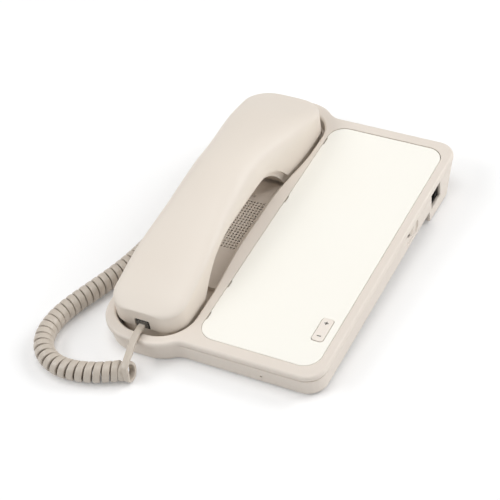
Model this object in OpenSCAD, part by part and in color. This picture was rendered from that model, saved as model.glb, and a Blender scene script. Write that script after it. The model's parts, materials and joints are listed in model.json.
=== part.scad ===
// Corded desk telephone: a low tilted base with a long handset lying in a cradle on its left,
// and a curly cord that lies on the table. Sizes are in millimetres.
// The base and the handset are drawn in the frame of the face: X to the right, Y to the back,
// Z out of the face, with the origin at the middle of the faceplate.

/* [Faceplate] */
// Width of the faceplate
face_w = 80; // [72:1:92]
// Length of the faceplate
face_l = 202.4; // [190:0.2:206]
// Corner radius of the faceplate
face_r = 11; // [6:0.5:14]
// Thickness of the faceplate
face_t = 1; // [0.8:0.1:1.3]
// Gap between the faceplate and the edge of its recess
face_gap = 0.25; // [0.15:0.05:0.5]

/* [Base] */
// Width of the rim at the right of the faceplate
rim_side = 6.5; // [6:0.5:10]
// Width of the rim behind the faceplate
rim_back = 8; // [6:0.5:11]
// Width of the rim in front of the faceplate
rim_front = 8.8; // [7:0.2:11]
// Radius of the outer corners
base_corner = 13; // [9:0.5:18]
// Depth of the slab from its face to its underside
base_h = 16; // [15.5:0.5:19]
// Height of the upper housing's outer wall
upper_h = 4.2; // [3.4:0.1:5]
// Thickness of the upper housing's face
top_t = 2.4; // [2:0.1:2.8]
// Thickness of the outer walls
wall = 2.2; // [1.8:0.1:2.6]
// Thickness of the floors
floor_t = 2; // [1.6:0.1:2.2]
// Gap at the seam between the two housings
seam = 0.2; // [0.1:0.05:0.4]
// Angle between the face and the table
tilt = 3; // [2:0.25:4]
// Height of the middle of the face above the table
face_z = 22.9; // [22.7:0.1:26]
// Distance from the slab's back edge to the front of the rear leg
leg_in = 49.7; // [47:0.1:58]

/* [Cradle] */
// Distance from the faceplate's left edge to the middle of the cradle
cradle_gap = 33.3; // [32:0.1:40]
// Half width of the opening at its back end
open_end = 29.3; // [28.6:0.1:30]
// Half width of the opening at its front end
open_front = 27.1; // [26.4:0.1:29]
// Half width of the opening at its middle
open_mid = 23.4; // [22:0.2:26]
// Corner radius of the opening at its back end
open_r = 21; // [16:1:24]
// Corner radius of the opening at its front end
open_front_r = 23; // [16:1:25]
// Width of the rim around the opening
cradle_rim = 4.7; // [4.6:0.1:8]
// Extra width of the rim at the two ends
end_rim = 1.3; // [0.5:0.1:4]
// Radius of the cradle's outer corners
cradle_corner = 26; // [22:1:30]
// Radius where the cradle runs into the slab
waist_r = 12; // [8:1:16]
// Depth of the channel between the two wells
channel_d = 8.5; // [7.5:0.1:8.8]
// Depth of the two wells
well_d = 11.5; // [11:0.1:11.8]
// Step from the opening in to the wells' lower part
well_step = 2.4; // [2:0.1:2.8]
// Thickness of the tub's side walls
tub_t = 1.6; // [1.3:0.1:1.7]
// Space between the handset and the front of the opening
front_gap = 5.2; // [4:0.2:7]
// Space between the handset and the back of the opening
back_gap = 3.8; // [3:0.2:5]
// Where the rear well begins
rear_well_y = 44; // [40:0.5:46]
// Where the front well begins
front_well_y = -56; // [-57.5:0.5:-50]

/* [Speaker grille] */
// Holes across the grille
grille_cols = 16; // [10:1:17]
// Holes along the grille
grille_rows = 19; // [12:1:22]
// Pitch of the holes across
grille_px = 2.25; // [1.9:0.05:2.3]
// Pitch of the holes along
grille_py = 2.4; // [2:0.05:2.5]
// Diameter of one hole
grille_hole = 1.15; // [0.8:0.05:1.4]
// Middle of the grille along the channel
grille_y = 1.5; // [-6:0.5:6]
// Diameter of the loudspeaker
speaker_d = 36; // [30:1:40]
// Thickness of the loudspeaker
speaker_t = 3.3; // [2.8:0.1:3.4]

/* [Volume rocker] */
// Width of the rocker
rocker_w = 7.5; // [6.5:0.1:9]
// Length of the rocker
rocker_l = 18.7; // [15:0.1:22]
// Gap around the rocker
rocker_gap = 0.35; // [0.25:0.05:0.6]
// Distance from the faceplate's right edge to the rocker's middle
rocker_in = 8.7; // [7:0.1:12]
// Distance from the faceplate's front edge to the rocker's middle
rocker_up = 30.2; // [22:0.2:36]
// Diameter of the rocker's pivot pin
pivot_d = 1.6; // [1.2:0.1:2]

/* [Ringer slider] */
// Distance from the middle of the face to the slider's middle
ringer_y = 31; // [18:0.5:33]
// Travel of the slider to each side of its middle
ringer_travel = 3; // [2:0.5:4]
// Length of the recess around the slider
ringer_l = 19; // [16:0.5:22]
// Height of the recess around the slider
ringer_h = 10.6; // [8:0.2:11]

/* [Jacks and plugs] */
// Width of a six-way jack
jack_w = 13.4; // [12.6:0.1:14]
// Length of a six-way jack
jack_l = 15; // [13:0.5:17]
// Distance from the slab's back edge to the middle of the data jack
data_jack_in = 39.2; // [34:0.2:42]
// Distance from the middle of the face to the line jack
line_jack_x = 0; // [-8:0.5:4]
// Distance from the middle of the face to the handset jack in the base
cord_jack_y = 75; // [70:0.5:80]
// Width of a four-way plug
plug_w = 7.6; // [7.2:0.1:8]
// Height of a four-way plug
plug_h = 5.8; // [5.2:0.1:6.2]
// Length of a four-way plug
plug_l = 13; // [12:0.2:14]

/* [Hook switch] */
// Distance from the middle of the face to the hook plunger
hook_y = 72; // [68:0.5:78]
// Travel of the hook plunger
hook_travel = 4; // [3:0.5:4]
// Width of the plunger's head
hook_w = 6; // [5:0.5:8]
// Length of the plunger's head
hook_l = 9; // [7:0.5:11]

/* [Handset] */
// Length of the handset
handset_l = 212; // [206:1:214]
// Distance of the handset's middle line to the left of the cradle's
handset_off = 0.9; // [0:0.1:0.9]
// Half width of the handset at its earpiece end
handset_end = 27.4; // [26:0.1:27.8]
// Half width of the handset at its mouthpiece end
handset_front = 25.4; // [24:0.1:25.8]
// Half width of the handset at the middle of its handle
handset_mid = 22.6; // [21:0.1:24]
// Corner radius of the earpiece end, seen from above
handset_r = 16.7; // [14:0.1:19]
// Corner radius of the mouthpiece end, seen from above
handset_front_r = 15; // [14:0.5:21]
// Thickness of the handset's shells
shell_t = 2.2; // [1.8:0.1:2.4]
// Height of the crown above the face at the handle's middle
crown_top = 36.6; // [35:0.2:42]
// Fall of the crown from its highest point to 80 mm from it
crown_fall = 16.8; // [14:0.2:18]
// Distance of the crown's highest point behind the handset's middle
crown_at = 9; // [-4:0.5:12]
// Height of the crown at the earpiece end
crown_end = 12.5; // [11.5:0.5:14]
// Length over which the earpiece end rounds off
crown_round = 31; // [24:1:34]
// Height of the side crease at the handle's middle
crease_top = 21.3; // [20.3:0.5:24]
// Height of the side crease at the earpiece end
crease_back = 11; // [9:0.5:11.5]
// Height towards which the side crease falls at the mouthpiece end
crease_front = 7; // [6:0.5:8]
// Height of the handle's lower edge above the face
arch_top = 19; // [17.5:0.5:20]
// Depth of the shell's lower edge below the face, at the cups
lip_drop = 1.5; // [1:0.1:2]
// Gap between the cups and the floors of the wells
seat_gap = 0.25; // [0.2:0.05:0.4]
// Diameter of the earpiece receiver
receiver_d = 30; // [26:1:34]

/* [Curly cord] */
// Width of the flat cord
cord_w = 3.4; // [3:0.1:3.6]
// Thickness of the flat cord
cord_t = 2.2; // [1.8:0.1:2.4]
// Outer diameter of the curls
coil_od = 13; // [12:0.2:14]
// Number of curls
curls = 46; // [30:1:48]

/* [Hidden] */
$fn = 48;

// Colours
ash = "#E9E1D6";
ash_handset = "#E4DCD1";
ivory = "#FDFAF2";
cord_colour = "#C9BFB2";
board_green = "#2F6B45";
black_plastic = "#2B2A28";
metal = "#B9BCC0";
gold = "#D8B25A";
rubber_grey = "#4A4845";

// Places in the frame of the face
slab_r = face_w / 2 + rim_side;
slab_b = face_l / 2 + rim_back;
slab_f = face_l / 2 + rim_front;
cradle_x = -(face_w / 2 + cradle_gap);
cradle_w = open_end + cradle_rim;
cradle_front_w = open_front + cradle_rim;
handset_x = cradle_x - handset_off;
half_l = handset_l / 2;
cradle_l = max(half_l + front_gap + cradle_rim + end_rim, slab_b + 7.9);
open_f = half_l + front_gap;
open_b = half_l + back_gap;
stand_x = -(slab_r + cradle_x - cradle_w) / 2;
stand_y = -upper_h * sin(tilt) / 2;
rocker_x = face_w / 2 - rocker_in;
rocker_y = -face_l / 2 + rocker_up;
data_jack_y = slab_b - data_jack_in;
leg_y = slab_b - leg_in;
steps = 8;

// Heights in the frame of the face, measured down from it
board_top = -5.2;
board_t = 1.6;
inner_floor = -base_h + floor_t;
jack_top = -upper_h - 0.4;
jack_h = 11.8;
jack_board_top = jack_top - jack_h;
leg_gap = 1.5;
cavity_mid = -9;

// The lower housing narrows downwards, about a point near its front
lower_in = 0.5;
lower_deep = 26;
lower_pivot = [cradle_x / 2, -slab_f + 26];
lower_taper = [0.983, 0.932];
side_x = slab_r - lower_in - 0.25;
// How far the narrowing has brought the right or left wall in at height z
function side_lean(z) =
    (slab_r - lower_pivot[0]) * (1 - lower_taper[0]) * (-upper_h - seam - z) / lower_deep;

// ---- Shared shapes ----

// Points along an arc about c with radius r, from angle a to angle b
function arc(c, r, a, b, n) =
    [for (i = [0:n]) c + r * [cos(a + (b - a) * i / n), sin(a + (b - a) * i / n)]];

// A smooth rise from 0 to 1
function ease(t) = let(u = max(0, min(1, t))) u * u * (3 - 2 * u);

// Outline of the base, d inside its outer edge
function base_outline(d) =
    let(
        r = slab_r - d,
        yb = slab_b - d,
        yf = -slab_f + d,
        slab_c = base_corner - d,
        cradle_c = cradle_corner - d,
        fillet = waist_r + d,
        half_b = cradle_w - cradle_corner,
        half_f = cradle_front_w - cradle_corner,
        yc = cradle_l - cradle_corner,
        reach = cradle_c + fillet,
        ub = yb + fillet - yc,
        uf = -yf + fillet - yc,
        xb = cradle_x + half_b + sqrt(reach * reach - ub * ub),
        xf = cradle_x + half_f + sqrt(reach * reach - uf * uf),
        ab = atan2(ub, xb - cradle_x - half_b),
        af = atan2(uf, xf - cradle_x - half_f)
    )
    concat(
        arc([r - slab_c, yb - slab_c], slab_c, 0, 90, steps),
        arc([xb, yb + fillet], fillet, 270, 180 + ab, steps / 2),
        arc([cradle_x + half_b, yc], cradle_c, ab, 90, steps / 2),
        arc([cradle_x - half_b, yc], cradle_c, 90, 180, steps),
        [for (i = [1:pod_steps - 1]) let(v = yc - 2 * yc * i / pod_steps)
            [cradle_x + d - pod_half(v, open_mid + cradle_rim, [cradle_w, cradle_front_w]), v]],
        arc([cradle_x - half_f, -yc], cradle_c, 180, 270, steps),
        arc([cradle_x + half_f, -yc], cradle_c, 270, 360 - af, steps / 2),
        arc([xf, yf - fillet], fillet, 180 - af, 90, steps / 2),
        arc([r - slab_c, yf + slab_c], slab_c, -90, 0, steps)
    );

// Half width of a pod, a long outline with a waist, at distance v from its middle.
// Widths and radii of its two ends are given as [back, front].
flare_from = 20;
flare_len = 55;
function pod_half(v, mid, ends) =
    mid + (ends[v < 0 ? 1 : 0] - mid) * ease((abs(v) - flare_from) / flare_len);

// Outline of a pod about the cradle's middle line
pod_steps = 24;
function pod(mid, ends, front, rear, rs) =
    let(b = rs[0], f = rs[1], xb = ends[0] - b, xf = ends[1] - f, vb = rear - b, vf = f - front)
    [for (p = concat(
        arc([xb, vb], b, 0, 90, steps),
        arc([-xb, vb], b, 90, 180, steps),
        [for (i = [1:pod_steps - 1])
            let(v = vb + (vf - vb) * i / pod_steps) [-pod_half(v, mid, ends), v]],
        arc([-xf, vf], f, 180, 270, steps),
        arc([xf, vf], f, 270, 360, steps),
        [for (i = [1:pod_steps - 1])
            let(v = vf + (vb - vf) * i / pod_steps) [pod_half(v, mid, ends), v]]
    )) p + [cradle_x, 0]];

// The opening in the cradle, grown outwards by g
function opening(g = 0) =
    pod(open_mid + g, [open_end + g, open_front + g], open_f + g, open_b + g,
        [open_r + g, open_front_r + g]);

module slice(points, z0, z1) {
    translate([0, 0, z0]) linear_extrude(z1 - z0) polygon(points);
}

module block(x0, x1, y0, y1, z0, z1) {
    translate([x0, y0, z0]) cube([x1 - x0, y1 - y0, z1 - z0]);
}

module post(x, y, d, z0, z1) {
    translate([x, y, z0]) cylinder(d = d, h = z1 - z0);
}

// A plate with round corners about [x, y]
module plate(x, y, w, l, r, z0, z1) {
    c = [w / 2 - r, l / 2 - r];
    corners = concat(
        arc([c[0], c[1]], r, 0, 90, steps),
        arc([-c[0], c[1]], r, 90, 180, steps),
        arc([-c[0], -c[1]], r, 180, 270, steps),
        arc([c[0], -c[1]], r, 270, 360, steps)
    );
    translate([x, y, 0]) slice(corners, z0, z1);
}

// Moves the frame of the face to its place above the table
module on_table() {
    translate([stand_x, stand_y, face_z]) rotate([tilt, 0, 0]) children();
}

// Draws its children in the table's frame while inside on_table
module in_table_frame() {
    rotate([-tilt, 0, 0]) translate([-stand_x, -stand_y, -face_z]) children();
}

// A point of the face's frame in the table's frame
function table_point(p) = [
    p[0] + stand_x,
    p[1] * cos(tilt) - p[2] * sin(tilt) + stand_y,
    p[1] * sin(tilt) + p[2] * cos(tilt) + face_z
];

// Height in the face's frame of a level plane that is h above the table
function level_z(h, y) = (h - face_z) / cos(tilt) - y * tan(tilt);

// ---- Base housings ----

screw_places = [
    [slab_r - 9.5, -slab_f + 13],
    [cradle_x + cradle_w + 6.7, -slab_f + 13],
    [slab_r - 9.5, slab_b - 22.5],
    [cradle_x + cradle_w + 6.7, slab_b - 23]
];
boss_split = -7;
boss_d = 8.6;
pilot_d = 2.4;
screw_d = 2.2;
screw_head_d = 5.4;
screw_head_h = 1.8;
head_bore_d = 6.2;
head_seat = -10.6;

tab_places = [84.6, 25, -56, -84.5];
tab_l = 6.2;
tab_w = 0.7;
tab_h = 1.2;
tab_in = 0.75;

upper_boss_d = 6.5;
speaker_ring_t = 1.4;
speaker_fit = 0.2;

module tub_solid() {
    slice(opening(tub_t), cavity_mid + 0.1, -1);
    slice(opening(tub_t - well_step), -channel_d - 1.8, cavity_mid + 0.2);
    for (side = [[rear_well_y - 2, open_b + 3], [-open_f - 3, front_well_y + 2]])
        intersection() {
            slice(opening(tub_t - well_step), -well_d - 1.8, cavity_mid + 0.2);
            block(cradle_x - 60, cradle_x + 60, side[0], side[1], -20, 0);
        }
}

module tub_hollow() {
    slice(opening(), -channel_d, 1);
    for (side = [[rear_well_y, open_b + 3], [-open_f - 3, front_well_y]])
        intersection() {
            slice(opening(-well_step), -well_d, -channel_d + 0.1);
            block(cradle_x - 60, cradle_x + 60, side[0], side[1], -20, 0);
        }
}

module grille_holes() {
    for (i = [0:grille_cols - 1], j = [0:grille_rows - 1])
        post(cradle_x + (i - (grille_cols - 1) / 2) * grille_px,
             grille_y + (j - (grille_rows - 1) / 2) * grille_py,
             grille_hole, -channel_d - 3, -channel_d + 1, $fn = 16);
}

// A ring-shaped mark with a small centre, behind the grille
mark_in = 7;
mark_y = 28.6;
module ring_mark() {
    translate([cradle_x + mark_in, mark_y, -channel_d - 0.6])
        difference() {
            cylinder(d = 2.6, h = 1);
            translate([0, 0, -0.1]) cylinder(d = 1.2, h = 1.2);
        }
}

module pivot_ears() {
    for (s = [-1, 1])
        block(rocker_x + s * (rocker_w / 2 + rocker_gap + 1.2) - 0.9,
              rocker_x + s * (rocker_w / 2 + rocker_gap + 1.2) + 0.9,
              rocker_y - 2.2, rocker_y + 2.2, pivot_z - 1.6, -top_t + 0.1);
}

pivot_z = -2.9;
pivot_fit = 0.05;
module rocker_bore() {
    translate([rocker_x - rocker_w, rocker_y, pivot_z])
        rotate([0, 90, 0]) cylinder(d = pivot_d + 2 * pivot_fit, h = 2 * rocker_w);
}

knob_z = -7.6;
module upper_housing() {
    color(ash) on_table() difference() {
        union() {
            difference() {
                slice(base_outline(0), -upper_h, 0);
                slice(base_outline(wall), -upper_h - 1, -top_t);
            }
            tub_solid();
            for (p = screw_places) post(p[0], p[1], upper_boss_d, boss_split, -top_t + 0.1);
            pivot_ears();
            translate([cradle_x, grille_y, -channel_d - 1.8 - 1.6]) difference() {
                cylinder(d = speaker_d + 2 * speaker_fit + 2 * speaker_ring_t, h = 1.7);
                translate([0, 0, -1]) cylinder(d = speaker_d + 2 * speaker_fit, h = 4);
            }
        }
        tub_hollow();
        grille_holes();
        ring_mark();
        plate(0, 0, face_w + 2 * face_gap, face_l + 2 * face_gap, face_r + face_gap, -face_t, 1);
        plate(rocker_x, rocker_y, rocker_w + 2 * rocker_gap, rocker_l + 2 * rocker_gap,
              2.2, -face_wall_deep, 1);
        rocker_bore();
        for (y = tab_places)
            block(-face_w / 2 - face_gap, -face_w / 2 + tab_in + tab_w + 0.2,
                  y - tab_l / 2 - 0.2, y + tab_l / 2 + 0.2, -top_t - 2, 0.5);
        for (p = screw_places) post(p[0], p[1], pilot_d, boss_split - 1, -3.4);
        block(cradle_x - hook_w / 2 - 0.3, cradle_x + hook_w / 2 + 0.3,
              hook_y - hook_l / 2 - 0.3, hook_y + hook_l / 2 + 0.3, -20, -5);
        ringer_recess();
    }
}
face_wall_deep = top_t + 3;

// The recess of the ringer slider in the right-hand wall
recess_d = 1.2;
module ringer_recess() {
    translate([side_x - recess_d, ringer_y, knob_z])
        rotate([90, 0, 90])
            plate(0, 0, ringer_l, ringer_h, ringer_h / 2 - 0.2, 0, 5);
}

// The lower housing's form, d inside its outer face
module lower_form(d) {
    translate([lower_pivot[0], lower_pivot[1], -upper_h - seam])
        mirror([0, 0, 1]) linear_extrude(lower_deep, scale = lower_taper, slices = 1)
            polygon([for (p = base_outline(lower_in + d)) p - lower_pivot]);
}

ringer_stem_l = 3;
ringer_stem_h = 2.8;
module lower_housing() {
    color(ash) on_table() difference() {
        union() {
            difference() {
            intersection() {
                lower_form(0);
                union() {
                    block(-300, 300, -300, 300, -base_h, 10);
                    leg_space(leg_y, leg_gap);
                }
            }
                intersection() {
                    translate([0, 0, 0.01]) lower_form(wall);
                    union() {
                        block(-300, 300, -300, 300, inner_floor, 10);
                        leg_space(leg_y + wall, leg_gap + floor_t);
                    }
                }
            }
            intersection() {
                for (p = screw_places) post(p[0], p[1], boss_d, -base_h - 14, boss_split - 0.2);
                union() {
                    block(-300, 300, -300, leg_y + 4, -base_h, 10);
                    leg_space(leg_y + 1, leg_gap);
                }
            }
            board_posts();
            intersection() {
                for (p = jack_board_posts)
                    post(p[0], p[1], 5, -base_h - 14, jack_board_top - board_t - 0.02);
                leg_space(leg_y + 1, leg_gap);
            }
            intersection() {
                for (x = [-12, 14], y = [-4, 6])
                    post(cradle_x + x, hook_y + y, 5, -base_h - 14,
                         hook_board_top - hook_board_t - 0.02);
                leg_space(leg_y + 1, leg_gap);
            }
        }
        for (p = screw_places) {
            post(p[0], p[1], head_bore_d, -base_h - 20, head_seat);
            post(p[0], p[1], pilot_d + 0.6, head_seat - 1, 0);
        }
        // data jack
        block(slab_r - 6, slab_r + 5, data_jack_y - 7.2, data_jack_y + 7.2,
              jack_board_top, -upper_h + 0.5);
        // line jack
        block(line_jack_x - 7.2, line_jack_x + 7.2, slab_b - 18, slab_b + 5,
              jack_board_top, -upper_h + 0.5);
        // handset jack
        block(cradle_x - cradle_w - 5, cradle_x - cradle_w + 4.5,
              cord_jack_y - cord_jack_w / 2 - 0.2, cord_jack_y + cord_jack_w / 2 + 0.2,
              cord_jack_z - cord_jack_h / 2 - 0.2, cord_jack_z + cord_jack_h / 2 + 0.2);
        // ringer slider
        ringer_recess();
        block(slab_r - 8, slab_r + 5,
              ringer_y - ringer_stem_l / 2 - ringer_travel - 0.3,
              ringer_y + ringer_stem_l / 2 + ringer_travel + 0.3,
              knob_z - ringer_stem_h / 2 - 0.2, knob_z + ringer_stem_h / 2 + 0.2);
        // microphone hole
        translate([mic_x, -slab_f - 5, mic_z]) rotate([-90, 0, 0])
            cylinder(d = 1.4, h = 12, $fn = 24);
    }
}

// Everything behind y that is higher than h above the table
module leg_space(y, h) {
    intersection() {
        block(-300, 300, y, 300, -60, 20);
        in_table_frame() block(-300, 300, -300, 300, h, 60);
    }
}

board_x0 = -32;
board_x1 = slab_r - 5.2;
board_y0 = rocker_y - 15;
board_y1 = leg_y - 8;
board_post_places = [
    [board_x0 + 5, board_y0 + 5], [board_x1 - 6, board_y0 + 24],
    [board_x0 + 5, board_y1 - 5], [board_x1 - 6, board_y1 - 5]
];
module board_posts() {
    for (p = board_post_places)
        post(p[0], p[1], 5, -base_h + 0.5, board_top - board_t - 0.02);
}

// ---- Face, rocker and boards ----

module faceplate() {
    color(ivory) on_table() difference() {
        union() {
            plate(0, 0, face_w, face_l, face_r, -face_t + 0.02, 0);
            for (y = tab_places)
                block(-face_w / 2 + tab_in, -face_w / 2 + tab_in + tab_w,
                      y - tab_l / 2, y + tab_l / 2, -face_t - tab_h, -face_t + 0.4);
        }
        // notches beside the snap tabs
        for (y = tab_places)
            block(-face_w / 2 - 1, -face_w / 2 + tab_in,
                  y - tab_l / 2, y + tab_l / 2, -face_t - tab_h - 1, 1);
        plate(rocker_x, rocker_y, rocker_w + 2 * rocker_gap, rocker_l + 2 * rocker_gap,
              2.2, -face_t - 2, 1);
    }
}

rocker_top = 0.5;
leg_reach = 6;
module volume_rocker() {
    color(ash) on_table() {
        difference() {
            plate(rocker_x, rocker_y, rocker_w, rocker_l, 1.9, pivot_z + 0.9, rocker_top);
            // plus sign at the back, minus sign at the front
            block(rocker_x - 1.2, rocker_x + 1.2, rocker_y + 5.2, rocker_y + 5.8,
                  rocker_top - 0.25, 2);
            block(rocker_x - 0.3, rocker_x + 0.3, rocker_y + 4.3, rocker_y + 6.7,
                  rocker_top - 0.25, 2);
            block(rocker_x - 1.2, rocker_x + 1.2, rocker_y - 5.8, rocker_y - 5.2,
                  rocker_top - 0.25, 2);
        }
        block(rocker_x - rocker_w / 2 + 0.4, rocker_x + rocker_w / 2 - 0.4,
              rocker_y - 0.8, rocker_y + 0.8, pivot_z - 0.6, pivot_z + 1);
        translate([rocker_x - rocker_w / 2 - rocker_gap - 2, rocker_y, pivot_z])
            rotate([0, 90, 0])
                cylinder(d = pivot_d, h = rocker_w + 2 * rocker_gap + 4);
        for (s = [-1, 1])
            post(rocker_x, rocker_y + s * leg_reach, 2.4, dome_top + 0.4, pivot_z + 1);
    }
}

dome_top = board_top + 0.8;
module volume_domes() {
    color(metal) on_table()
        for (s = [-1, 1])
            translate([rocker_x, rocker_y + s * leg_reach, board_top + 0.02])
                cylinder(d1 = 6, d2 = 3, h = dome_top - board_top - 0.02);
}

module main_board() {
    color(board_green) on_table()
        block(board_x0, board_x1, board_y0, board_y1, board_top - board_t, board_top);
}

// ---- Ringer slider ----

knob_inner = side_x - wall - 0.5;
module ringer_knob() {
    color(ash) on_table() {
        block(knob_inner - 1.6, side_x - recess_d + 0.3,
              ringer_y - ringer_stem_l / 2, ringer_y + ringer_stem_l / 2,
              knob_z - ringer_stem_h / 2, knob_z + ringer_stem_h / 2);
        translate([side_x - recess_d + 0.15, ringer_y, knob_z])
            rotate([90, 0, 90])
                plate(0, 0, 5.4, 6, 2.2, 0, 1.1);
    }
}

module ringer_switch() {
    color(metal) on_table() difference() {
        block(board_x1 - 5, knob_inner, ringer_y - 7, ringer_y + 7,
              board_top - board_t - 4, board_top - board_t - 0.02);
        block(knob_inner - 2, knob_inner + 1,
              ringer_y - ringer_stem_l / 2 - ringer_travel - 0.3,
              ringer_y + ringer_stem_l / 2 + ringer_travel + 0.3,
              knob_z - ringer_stem_h / 2 - 0.2, knob_z + ringer_stem_h / 2 + 0.2);
    }
}

// ---- Hook switch, under the rear well ----

flange_t = 1;
plunger_top = -well_d + 0.1;
flange_top = -well_d - 1.8 - 0.1 - hook_travel;
hook_room = 2.8;
hook_board_top = flange_top - flange_t - hook_room;
hook_board_t = 1.2;
spring_d = 5;
module hook_plunger() {
    color(ash) on_table() {
        block(cradle_x - hook_w / 2, cradle_x + hook_w / 2,
              hook_y - hook_l / 2, hook_y + hook_l / 2, flange_top - 0.1, plunger_top);
        block(cradle_x - hook_w / 2 - 2, cradle_x + 17, hook_y - hook_l / 2 - 1,
              hook_y + hook_l / 2 + 1, flange_top - flange_t, flange_top);
    }
}

module hook_spring() {
    color(metal) on_table() translate([cradle_x, hook_y, hook_board_top + 0.02]) difference() {
        cylinder(d = spring_d, h = hook_room - 0.1);
        translate([0, 0, -1]) cylinder(d = spring_d - 1.2, h = hook_room + 3);
    }
}

module hook_switch() {
    color(black_plastic) on_table() difference() {
        block(cradle_x + 8, cradle_x + 16, hook_y - 6.4, hook_y + 6.4,
              hook_board_top + 0.02, flange_top - flange_t - 0.2);
        block(cradle_x + 10, cradle_x + 14, hook_y - 7, hook_y - 3,
              flange_top - flange_t - 1.2, flange_top);
    }
}

module hook_board() {
    color(board_green) on_table()
        block(cradle_x - 16, cradle_x + 18, hook_y - 7.5, hook_y + 10,
              hook_board_top - hook_board_t, hook_board_top);
}

// ---- Jacks and plugs ----

// A six-way jack that opens towards +X, with its front face at x = 0 and its base at z = 0
module six_way_jack() {
    difference() {
        block(-jack_l, 0, -jack_w / 2, jack_w / 2, 0, jack_h);
        block(-jack_l + 2, 1, -4.9, 4.9, 3, 9.8);
        block(-9, 1, -3.1, 3.1, 1.2, 3.1);
    }
}

// The spring wires inside a jack
module jack_wires(n, pitch, run, drop) {
    for (i = [0:n - 1])
        translate([0, (i - (n - 1) / 2) * pitch, 0])
            rotate([0, drop, 0]) translate([-run, 0, 0])
                rotate([0, 90, 0]) cylinder(d = 0.5, h = run, $fn = 16);
}

module at_data_jack() {
    translate([side_x - wall - 0.4, data_jack_y, jack_board_top]) children();
}

module at_line_jack() {
    translate([line_jack_x, slab_b - 8, jack_board_top]) rotate([0, 0, 90]) children();
}

module data_jack() { color(black_plastic) on_table() at_data_jack() six_way_jack(); }
module line_jack() { color(black_plastic) on_table() at_line_jack() six_way_jack(); }

module six_way_contacts() {
    translate([-1.6, 0, 9.5]) jack_wires(6, 1.02, 10, -17);
}
module data_jack_contacts() { color(gold) on_table() at_data_jack() six_way_contacts(); }
module line_jack_contacts() { color(gold) on_table() at_line_jack() six_way_contacts(); }

jack_board_x0 = line_jack_x - 10;
jack_board_x1 = side_x - wall - 2.5;
jack_board_y0 = data_jack_y - 8;
jack_board_y1 = data_jack_y + 9;
jack_board_posts = [
    [jack_board_x0 + 5, jack_board_y0 + 4],
    [jack_board_x1 - 18, jack_board_y0 + 4],
    [line_jack_x, jack_board_y1 + 6]
];
module jack_board() {
    color(board_green) on_table() {
        z0 = jack_board_top - board_t;
        block(jack_board_x0, jack_board_x1, jack_board_y0, jack_board_y1, z0,
              jack_board_top - 0.02);
        block(jack_board_x0, line_jack_x + 10, jack_board_y1 - 1, slab_b - 13, z0,
              jack_board_top - 0.02);
    }
}

// A four-way jack that opens towards -X, with its front face at x = 0, centred on z = 0
cord_jack_w = 10;
cord_jack_h = 8;
cord_jack_l = 12.5;
plug_fit = 0.15;
module four_way_jack() {
    difference() {
        block(0, cord_jack_l, -cord_jack_w / 2, cord_jack_w / 2,
              -cord_jack_h / 2, cord_jack_h / 2);
        block(-1, cord_jack_l - 1, -plug_w / 2 - plug_fit, plug_w / 2 + plug_fit,
              -plug_h / 2 - plug_fit, plug_h / 2 + plug_fit);
        for (i = [-1.5:1.5])
            block(cord_jack_l - 2, cord_jack_l + 1, i * 1.02 - 0.27, i * 1.02 + 0.27, -3.02, 3.02);
    }
}

module four_way_contacts() {
    for (i = [-1.5:1.5])
        block(cord_jack_l - 0.9, cord_jack_l + 0.9, i * 1.02 - 0.25, i * 1.02 + 0.25, -3, 3);
}

// A four-way plug that points towards +X, with its back at x = 0
latch_t = 0.8;
plug_body_h = plug_h - latch_t - 0.6;
plug_front = 11.2;
module four_way_plug() {
    block(0, plug_l, -plug_w / 2, plug_w / 2, -plug_h / 2 + latch_t + 0.6, plug_h / 2);
    block(2, plug_l - 0.5, -1.6, 1.6, -plug_h / 2, -plug_h / 2 + latch_t);
    block(plug_l - 2, plug_l - 0.5, -1.6, 1.6, -plug_h / 2, -plug_h / 2 + latch_t + 0.8);
}

cord_jack_z = level_z(leg_gap + floor_t, cord_jack_y) + cord_jack_h / 2 + 0.3;
cord_jack_x = cradle_x - cradle_w + lower_in + side_lean(cord_jack_z) + 1;
module at_base_cord_jack() {
    translate([cord_jack_x, cord_jack_y, cord_jack_z]) children();
}
module base_cord_jack() {
    color(black_plastic) on_table() at_base_cord_jack() four_way_jack();
}
module base_cord_jack_contacts() {
    color(gold) on_table() at_base_cord_jack() four_way_contacts();
}
plug_out = plug_l - plug_front;
base_plug_x = cord_jack_x - plug_out;
module base_plug() {
    color("#D9D3C7") on_table()
        translate([base_plug_x, cord_jack_y, cord_jack_z]) four_way_plug();
}

// ---- Other pieces in the base ----

module loudspeaker() {
    color(black_plastic) on_table() translate([cradle_x, grille_y, -channel_d - 1.8 - 0.05]) {
        translate([0, 0, -1.2]) cylinder(d = speaker_d, h = 1.2);
        translate([0, 0, -speaker_t]) cylinder(d = speaker_d * 0.55, h = speaker_t - 1);
    }
}

mic_x = 7;
mic_z = -11.6;
mic_d = 4;
mic_front = -slab_f + lower_in + wall + 0.72;
module base_microphone() {
    color(metal) on_table() translate([mic_x, mic_front + 0.5, mic_z])
        rotate([-90, 0, 0]) cylinder(d = mic_d, h = 2.7);
}

module microphone_sleeve() {
    color(rubber_grey) on_table() translate([mic_x, mic_front + 0.05, mic_z])
        rotate([-90, 0, 0]) difference() {
            intersection() {
                cylinder(d = mic_d + 2.8, h = 3.4);
                translate([-10, -10, 0]) cube([20, 10 + mic_z - inner_floor - 0.05, 9]);
            }
            translate([0, 0, 0.43]) cylinder(d = mic_d + 0.04, h = 9);
            translate([0, 0, -1]) cylinder(d = 1.6, h = 3, $fn = 24);
        }
}

module ballast_plate() {
    color(metal) on_table()
        block(-20, 22, board_y0 + 8, 22, inner_floor + 0.02, inner_floor + 2.6);
}

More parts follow.
